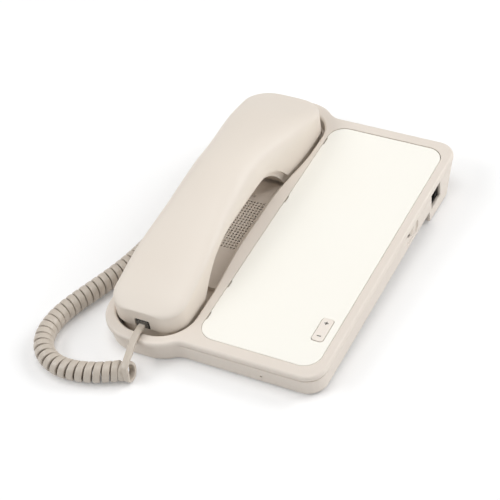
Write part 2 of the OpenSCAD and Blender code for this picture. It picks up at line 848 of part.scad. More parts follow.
foot_d = 10;
feet_front = [[slab_r - 24, -slab_f + 13], [cradle_x - 8, -slab_f + 15]];
feet_back = [[slab_r - 22, slab_b - 31], [cradle_x - 8, slab_b - 31]];
module rubber_feet() {
    color(rubber_grey) {
        for (p = feet_front)
            intersection() {
                translate([p[0] + stand_x, p[1] + stand_y, 0]) cylinder(d = foot_d, h = 6);
                on_table() block(-300, 300, -300, 300, -base_h - 20, -base_h - 0.02);
            }
        for (p = feet_back)
            translate([p[0] + stand_x, p[1] + stand_y, 0])
                cylinder(d = foot_d, h = leg_gap - 0.02);
    }
}

module screw(x, y, head_z, shaft) {
    translate([x, y, head_z]) difference() {
        union() {
            translate([0, 0, -screw_head_h]) cylinder(d = screw_head_d, h = screw_head_h);
            cylinder(d = screw_d, h = shaft);
        }
        for (a = [0, 90])
            rotate([0, 0, a]) translate([-1.6, -0.35, -screw_head_h - 1])
                cube([3.2, 0.7, 2]);
    }
}

module housing_screws() {
    color(metal) on_table() for (p = screw_places) screw(p[0], p[1], head_seat - 0.02, 6.6);
}

// ---- Handset ----

arch_at = -8;
arch_back = 55;
arch_front = 63;
function arch(v) =
    v > arch_at ? pow(min(1, (v - arch_at) / arch_back), 4.6)
                : pow(min(1, (arch_at - v) / arch_front), 4.4);
function low_edge(v) = arch_top - (arch_top + lip_drop) * arch(v);
cup_z = -well_d + seat_gap;
under_drop = 2.4;
function underside(v) =
    let(top = arch_top - under_drop) top - (top - cup_z) * arch(v);

crown_power = 1.45;
crown_front_power = 1.32;
crown_front_round = 14;
crown_lift = 2.2;
function crown(v) =
    let(
        back = v > 0,
        fall = v > crown_at ? pow((v - crown_at) / 80, crown_power)
                            : pow((crown_at - v) / 91, crown_front_power),
        end = back ? crown_end : crease(-half_l) + crown_lift,
        round_l = back ? crown_round : crown_front_round,
        open = max(end, crown_top - crown_fall * fall),
        e = min(1, max(0, (abs(v) - half_l + round_l) / round_l))
    ) end + (open - end) * sqrt(1 - e * e);
function crease(v) =
    let(
        back = v > arch_at,
        end = back ? crease_back : crease_front,
        far = back ? pow((v - arch_at) / 56, 2.2) : pow((arch_at - v) / 80, 3)
    ) end + (crease_top - end) * exp(-far);

handset_ends = [handset_end, handset_front];
tuck_mid = 0.4;
end_steps = 6;
body_steps = 34;
body_l = handset_l - handset_r - handset_front_r;
// Places of the stations along the handset, as [distance, share of the corner]
stations = concat(
    [for (i = [0:end_steps]) let(a = 90 - 90 * i / end_steps)
        [-(half_l - handset_front_r + handset_front_r * sin(a)), cos(a)]],
    [for (i = [1:body_steps - 1])
        [handset_front_r - half_l + body_l * i / body_steps, 1]],
    [for (i = [0:end_steps]) let(a = 90 * i / end_steps)
        [half_l - handset_r + handset_r * sin(a), cos(a)]]
);
function section_power(v) = 2.45 + 0.015 * max(0, v - 5);
quarter_steps = 8;
side_steps = 2;

// One section of the shell, t inside its outer face, from the left edge over to the right edge
function section(s, t) =
    let(
        v = s[0],
        r = v < 0 ? handset_front_r : handset_r,
        a = pod_half(v, handset_mid, handset_ends) - r + (r - t) * s[1],
        top = crown(v) - t,
        side = min(crease(v), top - 1),
        power = section_power(v),
        low = low_edge(v),
        tuck = tuck_mid * (1 - ease((abs(v) - flare_from) / flare_len)),
        half = concat(
            [for (i = [side_steps:-1:1]) let(u = i / side_steps)
                [a - tuck * u * u, side - (side - low) * u]],
            [for (i = [quarter_steps:-1:1]) let(q = 90 * i / quarter_steps)
                [a * pow(sin(q), 2 / power),
                 side + (top - side) * pow(max(0, cos(q)), 2 / power)]]
        ),
        c = half_l - r,
        y = abs(v) <= c ? v : sign(v) * (c + (abs(v) - c) * (r - t) / r)
    )
    concat(
        [for (p = half) [handset_x - p[0], y, p[1]]],
        [[handset_x, y, top]],
        [for (i = [len(half) - 1:-1:0]) [handset_x + half[i][0], y, half[i][1]]]
    );

// A closed skin between two sheets of sections
module skin(outer, inner) {
    n = len(outer[0]);
    m = len(outer);
    far = n * m;
    points = concat([for (r = outer, p = r) p], [for (r = inner, p = r) p]);
    sheet = [for (i = [0:m - 2], j = [0:n - 2])
        each [[i * n + j, (i + 1) * n + j, (i + 1) * n + j + 1],
              [i * n + j, (i + 1) * n + j + 1, i * n + j + 1]]];
    h = (n - 1) / 2;
    end = (m - 1) * n;
    caps = concat(
        [for (j = [0:h - 2]) each [[j, j + 1, n - 2 - j], [j, n - 2 - j, n - 1 - j]]],
        [for (j = [0:h - 2]) each [[end + j, end + n - 2 - j, end + j + 1],
                                   [end + j, end + n - 1 - j, end + n - 2 - j]]],
        [[h - 1, h, h + 1], [end + h - 1, end + h + 1, end + h]]
    );
    edges = concat(
        [for (i = [0:m - 2]) each [[i * n, far + i * n, far + (i + 1) * n],
                                   [i * n, far + (i + 1) * n, (i + 1) * n]]],
        [for (i = [0:m - 2]) each [[(i + 1) * n - 1, far + (i + 2) * n - 1, far + (i + 1) * n - 1],
                                   [(i + 1) * n - 1, (i + 2) * n - 1, far + (i + 2) * n - 1]]],
        [[0, n - 1, far + n - 1], [0, far + n - 1, far],
         [(m - 1) * n, far + (m - 1) * n, far + m * n - 1],
         [(m - 1) * n, far + m * n - 1, m * n - 1]]
    );
    polyhedron(points, concat(
        [for (f = concat(sheet, caps)) f],
        [for (f = concat(sheet, caps)) [far + f[0], far + f[2], far + f[1]]],
        edges
    ));
}

notch_w = cord_jack_w + 0.4;
cord_plug_z = 0.9;
notch_top = cord_plug_z + cord_jack_h / 2 + 0.2;
notch_low = cord_plug_z - cord_jack_h / 2 - 0.2;
module handset_top_shell() {
    color(ash_handset) on_table() difference() {
        skin([for (s = stations) section(s, 0)], [for (s = stations) section(s, shell_t)]);
        block(handset_x - notch_w / 2, handset_x + notch_w / 2, -half_l - 5,
              -half_l + shell_t + 1, -10, notch_top);
    }
}

inner_gap = 0.2;
under_t = 1.8;
lip_up = 1.2;
function under_plan(g) =
    let(d = shell_t + inner_gap + g)
    [for (p = pod(handset_mid - tuck_mid - d, [handset_end - d, handset_front - d],
                  half_l - d, half_l - d, [handset_r - d, handset_front_r - d]))
        p - [handset_off, 0]];

// The space between two curves along the handset
module between(lower, upper) {
    rotate([90, 0, 90]) translate([0, 0, handset_x - 40]) linear_extrude(80)
        polygon(concat(lower, [for (i = [len(upper) - 1:-1:0]) upper[i]]));
}

profile_steps = 52;
profile = [for (i = [0:profile_steps]) -half_l + handset_l * i / profile_steps];
module under_solid(g, lift, top) {
    intersection() {
        slice(under_plan(g), -30, 40);
        between([for (v = profile) [v, underside(v) + lift]],
                [for (v = profile) [v, low_edge(v) + top]]);
    }
}

ear_y = half_l - 30;
mouth_y = 24 - half_l;
handset_screw_places = [[handset_x, ear_y - 21], [handset_x, mouth_y + 17]];
module handset_bottom_shell() {
    color(ash_handset) on_table() difference() {
        union() {
            difference() {
                under_solid(0, 0, lip_up);
                under_solid(under_t, under_t, 60);
            }
            for (p = handset_screw_places)
                post(p[0], p[1], 7, cup_z + 0.5, 6);
        }
        for (p = handset_screw_places) {
            post(p[0], p[1], head_bore_d, cup_z - 5, handset_head_seat);
            post(p[0], p[1], pilot_d + 0.6, handset_head_seat - 1, 20);
        }
        // earpiece holes
        post(handset_x, ear_y, 2, cup_z - 5, cup_z + 5, $fn = 24);
        for (ring = [[6, 5], [12, 9]], i = [0:ring[0] - 1])
            post(handset_x + ring[1] * cos(360 * i / ring[0]),
                 ear_y + ring[1] * sin(360 * i / ring[0]), 1.8, cup_z - 5, cup_z + 5, $fn = 24);
        // mouthpiece holes
        for (i = [-1:1])
            post(handset_x + i * 3, mouth_y, 1.5, cup_z - 5, cup_z + 5, $fn = 24);
        // room for the plug
        block(handset_x - notch_w / 2, handset_x + notch_w / 2, -half_l - 5,
              -half_l + 7, notch_low, notch_top + 10);
    }
}

handset_head_seat = 2;
module handset_screws() {
    color(metal) on_table()
        for (p = handset_screw_places) screw(p[0], p[1], handset_head_seat - 0.02, 8);
}

cup_floor = cup_z + under_t;
ring_t = 1;
module earpiece_ring() {
    color(rubber_grey) on_table() translate([handset_x, ear_y, cup_floor + 0.02]) difference() {
        cylinder(d = receiver_d, h = ring_t);
        translate([0, 0, -1]) cylinder(d = receiver_d - 6, h = 4);
    }
}

module earpiece_receiver() {
    color(metal) on_table() translate([handset_x, ear_y, cup_floor + ring_t + 0.04]) {
        cylinder(d = receiver_d, h = 4.5);
        cylinder(d = receiver_d * 0.55, h = 8);
    }
}

capsule_d = 9.7;
capsule_h = 5;
module handset_microphone_boot() {
    color(rubber_grey) on_table() translate([handset_x, mouth_y, cup_floor + 0.02]) difference() {
        cylinder(d = capsule_d + 3, h = capsule_h);
        translate([0, 0, 1]) cylinder(d = capsule_d + 0.04, h = capsule_h);
        for (i = [-1:1])
            translate([i * 3, 0, -1]) cylinder(d = 1.5, h = 4, $fn = 24);
    }
}

module handset_microphone() {
    color(metal) on_table() translate([handset_x, mouth_y, cup_floor + 1.04])
        cylinder(d = capsule_d, h = capsule_h);
}

weight_z = arch_top - under_drop + under_t + 0.1;
module handset_weight() {
    color(metal) on_table()
        block(handset_x - 9, handset_x + 9, -30, 10, weight_z, weight_z + 6);
}

handset_plug_y = -half_l - 0.6;
handset_jack_y = handset_plug_y + plug_out;
module at_handset_jack() {
    translate([handset_x, handset_jack_y, cord_plug_z]) rotate([0, 0, 90]) children();
}
module handset_cord_jack() {
    color(black_plastic) on_table() at_handset_jack() four_way_jack();
}
module handset_cord_jack_contacts() {
    color(gold) on_table() at_handset_jack() four_way_contacts();
}
module handset_plug() {
    color("#D9D3C7") on_table()
        translate([handset_x, handset_plug_y, cord_plug_z]) rotate([0, 0, 90]) four_way_plug();
}

// ---- Curly cord, in the table's frame ----

// Middle line of the coil on the table
coil_route = [
    [-32.3, -135], [-37.7, -134.7], [-43, -135.5], [-49.2, -138.7], [-57.7, -142.8], [-67.9, -145.8],
    [-78, -146.7], [-87.1, -144.9], [-94.9, -140.6], [-100.3, -134.7], [-103.6, -128],
    [-105.1, -121.1], [-105.3, -113.6], [-104.3, -105.4], [-101.7, -95.6], [-98.1, -85.1],
    [-94, -73.5], [-89.9, -61], [-86.6, -48], [-84.2, -34], [-83, -18], [-82.8, 0],
    [-82.6, 18], [-82.6, 34], [-82.6, 38]
];
coil_r = (coil_od - cord_t) / 2;
coil_z = coil_od / 2 + 0.1;
curl_rings = 8;
cord_run = cord_w;

// Catmull-Rom curve through the route's points, at place t counted in points
function route_at(path, t) =
    let(
        i = min(floor(t), len(path) - 4),
        u = t - i,
        a = path[i], b = path[i + 1], c = path[i + 2], d = path[i + 3]
    ) 0.5 * (2 * b + (c - a) * u + (2 * a - 5 * b + 4 * c - d) * u * u
             + (3 * b - a - 3 * c + d) * u * u * u);

fine = 12;
coil_spans = (len(coil_route) - 3) * fine;
coil_points = [for (i = [0:coil_spans]) route_at(coil_route, i / fine)];
coil_lengths = [for (i = 0, s = 0; i <= coil_spans;
    s = s + (i < coil_spans ? norm(coil_points[i + 1] - coil_points[i]) : 0), i = i + 1)
        [s, i / fine]];
coil_length = coil_lengths[coil_spans][0];

function coil_middle(s) = route_at(coil_route, lookup(s, coil_lengths));
function coil_heading(s) =
    let(d = coil_middle(min(coil_length, s + 0.5)) - coil_middle(max(0, s - 0.5))) d / norm(d);

// Flat six-sided section: first along the coil, then outwards from its middle line
cord_section = [
    [cord_w / 2, 0], [cord_w * 0.32, cord_t / 2], [-cord_w * 0.32, cord_t / 2],
    [-cord_w / 2, 0], [-cord_w * 0.32, -cord_t / 2], [cord_w * 0.32, -cord_t / 2]
];

// One ring of the coil at angle q about its middle line, moved on by run
function coil_ring(s, q, run) =
    let(
        h = coil_heading(s),
        m = coil_middle(s),
        along = [h[0], h[1], 0],
        side = [h[1], -h[0], 0],
        out = cos(q) * [0, 0, 1] - sin(q) * side,
        ahead = -sin(q) * [0, 0, 1] - cos(q) * side,
        c = [m[0], m[1], coil_z] + coil_r * out + run * ahead
    ) [for (p = cord_section) c + p[0] * along + p[1] * out];

// The coil starts at its front, going down, and stops at its bottom, going in
coil_turns = curls * curl_rings + curl_rings / 4;
// Turns of pitch after t turns: the first curl stands squarer than the rest
function pitches(t) = t - 0.25 * (1 - cos(360 * t)) / 2 * exp(-t);
function coil_place(i) =
    coil_length * pitches(i / curl_rings) / pitches(coil_turns / curl_rings);
coil_start = coil_ring(0, 90, -cord_run);
coil_stop = coil_ring(coil_length, 90 + 360 * coil_turns / curl_rings, cord_run);
coil_rings = concat(
    [coil_start],
    [for (i = [0:coil_turns]) coil_ring(coil_place(i), 90 + 360 * i / curl_rings, 0)],
    [coil_stop]
);

// The least distance between the points of neighbouring curls
coil_gap = min([for (i = [1:coil_turns - curl_rings], k = [-1:1])
    let(a = coil_rings[i], b = coil_rings[min(coil_turns, i + curl_rings + k)])
    min([for (p = a, q = b) norm(p - q)])]);
echo(curls = curls, coil_length = coil_length, coil_gap = coil_gap);

// A closed tube through a list of rings
module tube(rings) {
    n = len(rings[0]);
    m = len(rings);
    polyhedron([for (r = rings, p = r) p], concat(
        [for (i = [0:m - 2], j = [0:n - 1]) let(k = (j + 1) % n)
            each [[i * n + j, i * n + k, (i + 1) * n + k],
                  [i * n + j, (i + 1) * n + k, (i + 1) * n + j]]],
        [for (j = [1:n - 2]) each [[0, j + 1, j],
                                   [(m - 1) * n, (m - 1) * n + j, (m - 1) * n + j + 1]]]
    ));
}

module curly_cord() { color(cord_colour) tube(coil_rings); }

// Eight-sided section of a straight stretch
end_section = [for (a = [0:45:315]) let(c = cos(a), s = sin(a))
    [cord_w / 2 * sign(c) * pow(abs(c), 0.5), cord_t / 2 * sign(s) * pow(abs(s), 0.5)]];

// One ring of a straight stretch at point i, its width laid along the given direction
function end_ring(path, i, wide) =
    let(
        d = path[min(i + 1, len(path) - 1)] - path[max(i - 1, 0)],
        ahead = d / norm(d),
        level = is_undef(wide) ? cross([0, 0, 1], ahead) : wide - (wide * ahead) * ahead,
        across = level / norm(level),
        up = cross(ahead, across)
    ) [for (p = end_section) path[i] + p[0] * across + p[1] * up];

function mean(ring) = (ring[0] + ring[3]) / 2;

face_back = [0, cos(tilt), sin(tilt)];
plug_back = table_point([handset_x, handset_plug_y, cord_plug_z]);
handset_end_route = [
    mean(coil_start), mean(coil_start) + [0, 0.1, 1], [-38.9, -138.9, 12.7],
    [-39.1, -137, 14.3], [-39.5, -134, 15.5], [-40.3, -130, 16.2], [-41.2, -126.2, 16.9],
    [-41.9, -122.4, 17.8], [-42.4, -118.6, 18.9], [-42.7, -115, 19.5], [-42.9, -112, 19.2],
    plug_back - 3 * face_back, plug_back - 0.02 * face_back
];
base_plug_back = table_point([base_plug_x, cord_jack_y, cord_jack_z]);
base_end_route = [
    mean(coil_stop), mean(coil_stop) + [0.8, 0.1, 0], [-77.2, 36, 1.6], [-76.8, 40, 2],
    [-77, 45, 2.6], [-77.7, 50, 3.3], [-78.8, 55, 4.2], [-80, 60, 5.1], [-80.9, 65, 6],
    [-81, 69.5, 6.9], [-80.4, 73, 7.6], base_plug_back - [2.6, 0.3, 0],
    base_plug_back - [0.02, 0, 0]
];

module handset_cord_end() {
    color(cord_colour)
        tube([for (i = [0:len(handset_end_route) - 1])
            end_ring(handset_end_route, i, [1, 0, 0])]);
}
module base_cord_end() {
    color(cord_colour)
        tube([for (i = [0:len(base_end_route) - 1]) end_ring(base_end_route, i)]);
}

upper_housing();
lower_housing();
faceplate();
volume_rocker();
volume_domes();
main_board();
ringer_knob();
ringer_switch();
hook_plunger();
hook_spring();
hook_switch();
hook_board();
data_jack();
data_jack_contacts();
line_jack();
line_jack_contacts();
jack_board();
base_cord_jack();
base_cord_jack_contacts();
loudspeaker();
base_microphone();
microphone_sleeve();
ballast_plate();
rubber_feet();
housing_screws();
handset_top_shell();
handset_bottom_shell();
earpiece_receiver();
earpiece_ring();
handset_microphone();
handset_microphone_boot();
handset_weight();
handset_cord_jack();
handset_cord_jack_contacts();
handset_screws();
handset_plug();
base_plug();
curly_cord();
handset_cord_end();
base_cord_end();
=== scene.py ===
import bpy
import bmesh
import json
import math
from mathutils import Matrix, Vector
from mathutils.geometry import delaunay_2d_cdt, tessellate_polygon


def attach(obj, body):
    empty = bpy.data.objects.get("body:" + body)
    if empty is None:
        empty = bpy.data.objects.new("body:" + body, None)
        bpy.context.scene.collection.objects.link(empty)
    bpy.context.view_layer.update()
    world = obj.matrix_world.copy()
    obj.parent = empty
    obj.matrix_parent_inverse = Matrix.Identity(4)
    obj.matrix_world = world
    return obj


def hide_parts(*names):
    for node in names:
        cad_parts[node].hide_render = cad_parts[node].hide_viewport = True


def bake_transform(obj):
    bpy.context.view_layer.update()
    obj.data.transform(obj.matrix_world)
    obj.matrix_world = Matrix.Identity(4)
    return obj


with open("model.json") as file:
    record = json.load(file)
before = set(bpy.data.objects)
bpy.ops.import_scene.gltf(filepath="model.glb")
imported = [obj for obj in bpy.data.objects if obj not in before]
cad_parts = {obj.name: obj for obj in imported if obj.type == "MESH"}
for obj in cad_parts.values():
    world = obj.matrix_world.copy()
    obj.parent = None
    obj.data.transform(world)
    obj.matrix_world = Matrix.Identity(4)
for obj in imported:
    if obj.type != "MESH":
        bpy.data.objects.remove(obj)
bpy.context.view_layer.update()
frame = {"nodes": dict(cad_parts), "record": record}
nodes = frame["nodes"]
print("frame loaded:", len(nodes), "nodes")

# The base and handset are drawn in the frame of the face, in millimetres
stand = {"x": 30.4, "y": -0.11, "z": 22.9, "tilt": math.radians(3)}


def onTable(x, y, z):
    c, s = math.cos(stand["tilt"]), math.sin(stand["tilt"])
    return Vector((x + stand["x"], y * c - z * s + stand["y"], y * s + z * c + stand["z"])) / 1000


def metres(x, y, z):
    return Vector((x, y, z)) / 1000


# A long lens from the front right, rolled a little
view = {
    "place": (0.431992, -0.726777, 0.761594),
    "turn": (48.0106, 5.7752, 27.0747),
    "lens": 126.705,
}
camera = bpy.data.objects.new("camera", bpy.data.cameras.new("camera"))
bpy.context.scene.collection.objects.link(camera)
camera.location = view["place"]
camera.rotation_euler = [math.radians(a) for a in view["turn"]]
camera.data.lens = view["lens"]
camera.data.sensor_width = 36
camera.data.clip_start = 0.05
camera.data.clip_end = 20
bpy.context.scene.camera = camera
print("camera placed")


def linear(code):
    parts = [int(code[i:i + 2], 16) / 255 for i in (1, 3, 5)]
    return [c / 12.92 if c <= 0.04045 else ((c + 0.055) / 1.055) ** 2.4 for c in parts] + [1]


def addNode(tree, kind, values=None, links=None, **settings):
    node = tree.nodes.new(kind)
    for name, value in settings.items():
        setattr(node, name, value)
    for socket, value in (values or {}).items():
        node.inputs[socket].default_value = value
    for socket, source in (links or {}).items():
        tree.links.new(source, node.inputs[socket])
    return node


mixFrom, mixTo, mixOut = 6, 7, 2   # the colour sockets of a Mix node


def newMaterial(name):
    material = bpy.data.materials.new(name)
    material.use_nodes = True
    tree = material.node_tree
    tree.nodes.clear()
    return material, tree


def mouldedPlastic(name, finish):
    # a base colour with faint flow marks, and the fine grain of the mould
    material, tree = newMaterial(name)
    place = addNode(tree, "ShaderNodeTexCoord").outputs["Object"]
    flow = addNode(tree, "ShaderNodeTexNoise", {"Scale": 1000 / finish["flowSize"], "Detail": 2.0},
                   {"Vector": place})
    colour = addNode(tree, "ShaderNodeMix",
                     {mixFrom: linear(finish["colour"]), mixTo: linear(finish["flow"])},
                     {0: flow.outputs[0]}, data_type="RGBA")
    grain = addNode(tree, "ShaderNodeTexNoise", {"Scale": 1000 / finish["grainSize"], "Detail": 3.0},
                    {"Vector": place})
    gloss = addNode(tree, "ShaderNodeMapRange",
                    {"To Min": finish["rough"] - 0.04, "To Max": finish["rough"] + 0.04},
                    {"Value": grain.outputs[0]})
    bump = addNode(tree, "ShaderNodeBump",
                   {"Strength": finish["grain"], "Distance": finish["grainDepth"] / 1000},
                   {"Height": grain.outputs[0]})
    shader = addNode(tree, "ShaderNodeBsdfPrincipled", {"IOR": finish["ior"]},
                     {"Base Color": colour.outputs[mixOut], "Roughness": gloss.outputs[0],
                      "Normal": bump.outputs[0]})
    if "coat" in finish:
        shader.inputs["Coat Weight"].default_value = finish["coat"]
        shader.inputs["Coat Roughness"].default_value = finish["coatRough"]
    addNode(tree, "ShaderNodeOutputMaterial", links={"Surface": shader.outputs[0]})
    return material


def platedMetal(name, finish):
    material, tree = newMaterial(name)
    place = addNode(tree, "ShaderNodeTexCoord").outputs["Object"]
    grain = addNode(tree, "ShaderNodeTexNoise", {"Scale": 1000 / finish["grainSize"], "Detail": 4.0},
                    {"Vector": place})
    colour = addNode(tree, "ShaderNodeMix",
                     {mixFrom: linear(finish["colour"]), mixTo: linear(finish["dull"])},
                     {0: grain.outputs[0]}, data_type="RGBA")
    gloss = addNode(tree, "ShaderNodeMapRange",
                    {"To Min": finish["rough"] - 0.06, "To Max": finish["rough"] + 0.08},
                    {"Value": grain.outputs[0]})
    shader = addNode(tree, "ShaderNodeBsdfPrincipled", {"Metallic": 1.0},
                     {"Base Color": colour.outputs[mixOut], "Roughness": gloss.outputs[0]})
    addNode(tree, "ShaderNodeOutputMaterial", links={"Surface": shader.outputs[0]})
    return material


finishes = {
    # ABS from a finely spark-eroded mould: a warm off-white with a soft, even sheen
    "absHousing": {"colour": "#E7DED4", "flow": "#E5DBD0", "flowSize": 40, "grainSize": 0.5,
                   "rough": 0.46, "grain": 0.12, "grainDepth": 0.03, "ior": 1.53},
    "absHandset": {"colour": "#EAE1D6", "flow": "#E8DED2", "flowSize": 45, "grainSize": 0.5,
                   "rough": 0.43, "grain": 0.12, "grainDepth": 0.03, "ior": 1.53},
    # the same ABS in a paler shade, for the key that fingers press
    "absKey": {"colour": "#F3EAE1", "flow": "#F1E8DE", "flowSize": 30, "grainSize": 0.5,
               "rough": 0.42, "grain": 0.1, "grainDepth": 0.03, "ior": 1.53},
    # ABS plate from a polished mould: ivory and almost free of grain
    "absPlate": {"colour": "#FDFBF3", "flow": "#FCF9F0", "flowSize": 60, "grainSize": 0.6,
                 "rough": 0.38, "grain": 0.05, "grainDepth": 0.02, "ior": 1.53},
    # Extruded PVC: smooth and a little shiny, with faint die lines
    "pvcCord": {"colour": "#CDC3B6", "flow": "#C8BDB0", "flowSize": 8, "grainSize": 0.7,
                "rough": 0.34, "grain": 0.08, "grainDepth": 0.03, "ior": 1.53},
    # Dark moulded PBT of the sockets and the loudspeaker
    "pbtBlack": {"colour": "#242321", "flow": "#1E1D1C", "flowSize": 12, "grainSize": 0.4,
                 "rough": 0.48, "grain": 0.15, "grainDepth": 0.02, "ior": 1.55},
    # Printed ink of the plus and minus marks
    "padInk": {"colour": "#5C5650", "flow": "#554F49", "flowSize": 2, "grainSize": 0.3,
               "rough": 0.6, "grain": 0.1, "grainDepth": 0.01, "ior": 1.5},
    # Cured silicone of the feet, boots and rings
    "siliconeGrey": {"colour": "#4B4946", "flow": "#45433F", "flowSize": 6, "grainSize": 0.4,
                     "rough": 0.7, "grain": 0.2, "grainDepth": 0.03, "ior": 1.41},
    # Solder mask over glass fibre: green with the weave just showing
    "solderMask": {"colour": "#2F6B45", "flow": "#2A603E", "flowSize": 1.2, "grainSize": 0.6,
                   "rough": 0.35, "grain": 0.2, "grainDepth": 0.03, "ior": 1.55},
}
metals = {
    "zincSteel": {"colour": "#B9BCC0", "dull": "#A2A6AA", "grainSize": 0.9, "rough": 0.32},
    "goldPlate": {"colour": "#DDB765", "dull": "#C9A14F", "grainSize": 0.5, "rough": 0.22},
}
materials = {name: mouldedPlastic(name, finish) for name, finish in finishes.items()}
materials.update({name: platedMetal(name, finish) for name, finish in metals.items()})


def clearPolycarbonate(name):
    # injection-moulded and clear, with a slight warm tint
    material, tree = newMaterial(name)
    place = addNode(tree, "ShaderNodeTexCoord").outputs["Object"]
    haze = addNode(tree, "ShaderNodeTexNoise", {"Scale": 1000 / 1.5}, {"Vector": place})
    gloss = addNode(tree, "ShaderNodeMapRange", {"To Min": 0.05, "To Max": 0.14},
                    {"Value": haze.outputs[0]})
    shader = addNode(tree, "ShaderNodeBsdfPrincipled",
                     {"Base Color": linear("#E9E5DC"), "IOR": 1.585, "Transmission Weight": 0.85},
                     {"Roughness": gloss.outputs[0]})
    addNode(tree, "ShaderNodeOutputMaterial", links={"Surface": shader.outputs[0]})
    return material


materials["clearPolycarbonate"] = clearPolycarbonate("clearPolycarbonate")

slotFinish = {
    "housing_plastic": "absHousing", "handset_plastic": "absHandset", "ivory_plastic": "absPlate",
    "cord_plastic": "pvcCord", "clear_plastic": "clearPolycarbonate", "black_plastic": "pbtBlack",
    "board": "solderMask", "steel": "zincSteel", "gold_wire": "goldPlate",
    "soft_rubber": "siliconeGrey",
}
for part in frame["record"]["subparts"]:
    mesh = nodes[part["node"]].data
    mesh.materials.clear()
    mesh.materials.append(materials[slotFinish[part["material_slot"]]])
print("materials made:", len(materials))


# Welds points closer than this, in metres
weldDistance = 2e-6


def newShape():
    # flats holds the numbers of the flat faces, which lead the shading
    return {"points": [], "faces": [], "flats": set()}


def addLoop(shape, loop, z):
    first = len(shape["points"])
    shape["points"] += [(p[0], p[1], z) for p in loop]
    return list(range(first, first + len(loop)))


def bridge(shape, low, high, closed=True):
    n = len(low)
    for i in range(n if closed else n - 1):
        k = (i + 1) % n
        shape["faces"].append((low[i], low[k], high[k], high[i]))


def stack(shape, rings):
    # rings are (loop, z) from one end of a wall to the other
    loops = [addLoop(shape, loop, z) for loop, z in rings]
    for low, high in zip(loops, loops[1:]):
        bridge(shape, low, high)
    return loops[0], loops[-1]


def isInside(x, y, loop):
    odd = False
    for (x1, y1), (x2, y2) in zip(loop, loop[1:] + loop[:1]):
        if (y1 > y) != (y2 > y) and x < x1 + (y - y1) * (x2 - x1) / (y2 - y1):
            odd = not odd
    return odd


def fillFlat(shape, loops):
    # flat triangles between an outer loop and its holes
    flat, edges, owner = [], [], []
    corners = [[shape["points"][i][:2] for i in loop] for loop in loops]
    for k, loop in enumerate(loops):
        first, n = len(flat), len(loop)
        flat += [Vector(p) for p in corners[k]]
        edges += [(first + i, first + (i + 1) % n) for i in range(n)]
        owner += [(k, i) for i in loop]
    made = delaunay_2d_cdt(flat, edges, [], 1, 1e-7)
    for face in made[2]:
        mine = [owner[made[3][i][0]] for i in face]
        k = mine[0][0]
        if k > 0 and all(m[0] == k for m in mine):
            middle = sum((made[0][i] for i in face), Vector((0, 0))) / 3
            if isInside(middle[0], middle[1], corners[k]):
                continue
        shape["flats"].add(len(shape["faces"]))
        shape["faces"].append(tuple(m[1] for m in mine))


def makePiece(name, shape, material, place=onTable, sharp=38):
    strongFace = 16384   # as the modifier counts a strong face, and below zero a weak one
    bm = bmesh.new()
    corners = [bm.verts.new(place(*p)) for p in shape["points"]]
    strength = bm.faces.layers.int.new("__mod_weightednormals_faceweight")
    for k, face in enumerate(shape["faces"]):
        face = list(dict.fromkeys(face))
        if len(face) < 3:
            continue
        made = bm.faces.new([corners[i] for i in face])
        made[strength] = strongFace if k in shape["flats"] else -strongFace
    bmesh.ops.remove_doubles(bm, verts=bm.verts, dist=weldDistance)
    bmesh.ops.delete(bm, geom=[v for v in bm.verts if not v.link_faces], context="VERTS")
    bmesh.ops.recalc_face_normals(bm, faces=bm.faces)
    for face in bm.faces:
        face.smooth = True
    for edge in bm.edges:
        if len(edge.link_faces) == 2:
            edge.smooth = edge.calc_face_angle(0) < math.radians(sharp)
    mesh = bpy.data.meshes.new(name)
    bm.to_mesh(mesh)
    bm.free()
    mesh.materials.append(materials[material])
    piece = bpy.data.objects.new(name, mesh)
    bpy.context.scene.collection.objects.link(piece)
    weigh = piece.modifiers.new("flat faces first", "WEIGHTED_NORMAL")
    weigh.keep_sharp = True
    weigh.use_face_influence = bool(shape["flats"])
    return piece


def arcPoints(x, y, r, a, b, n):
    return [(x + r * math.cos(math.radians(a + (b - a) * i / n)),
             y + r * math.sin(math.radians(a + (b - a) * i / n))) for i in range(n + 1)]


def roundRect(x, y, w, l, r, n=8, side=1):
    cx, cy = w / 2 - r, l / 2 - r
    between = [cy - 2 * cy * i / side for i in range(1, side)]
    return (arcPoints(x + cx, y + cy, r, 0, 90, n) + arcPoints(x - cx, y + cy, r, 90, 180, n)
            + [(x - w / 2, y + v) for v in between]
            + arcPoints(x - cx, y - cy, r, 180, 270, n) + arcPoints(x + cx, y - cy, r, 270, 360, n)
            + [(x + w / 2, y - v) for v in between])


def edgeRound(radius, n=6):
    # (inset, drop) from the wall up over a round edge
    return [(radius * (1 - math.cos(math.radians(90 * i / n))),
             radius * (1 - math.sin(math.radians(90 * i / n)))) for i in range(n + 1)]


def ease(t):
    t = max(0, min(1, t))
    return t * t * (3 - 2 * t)


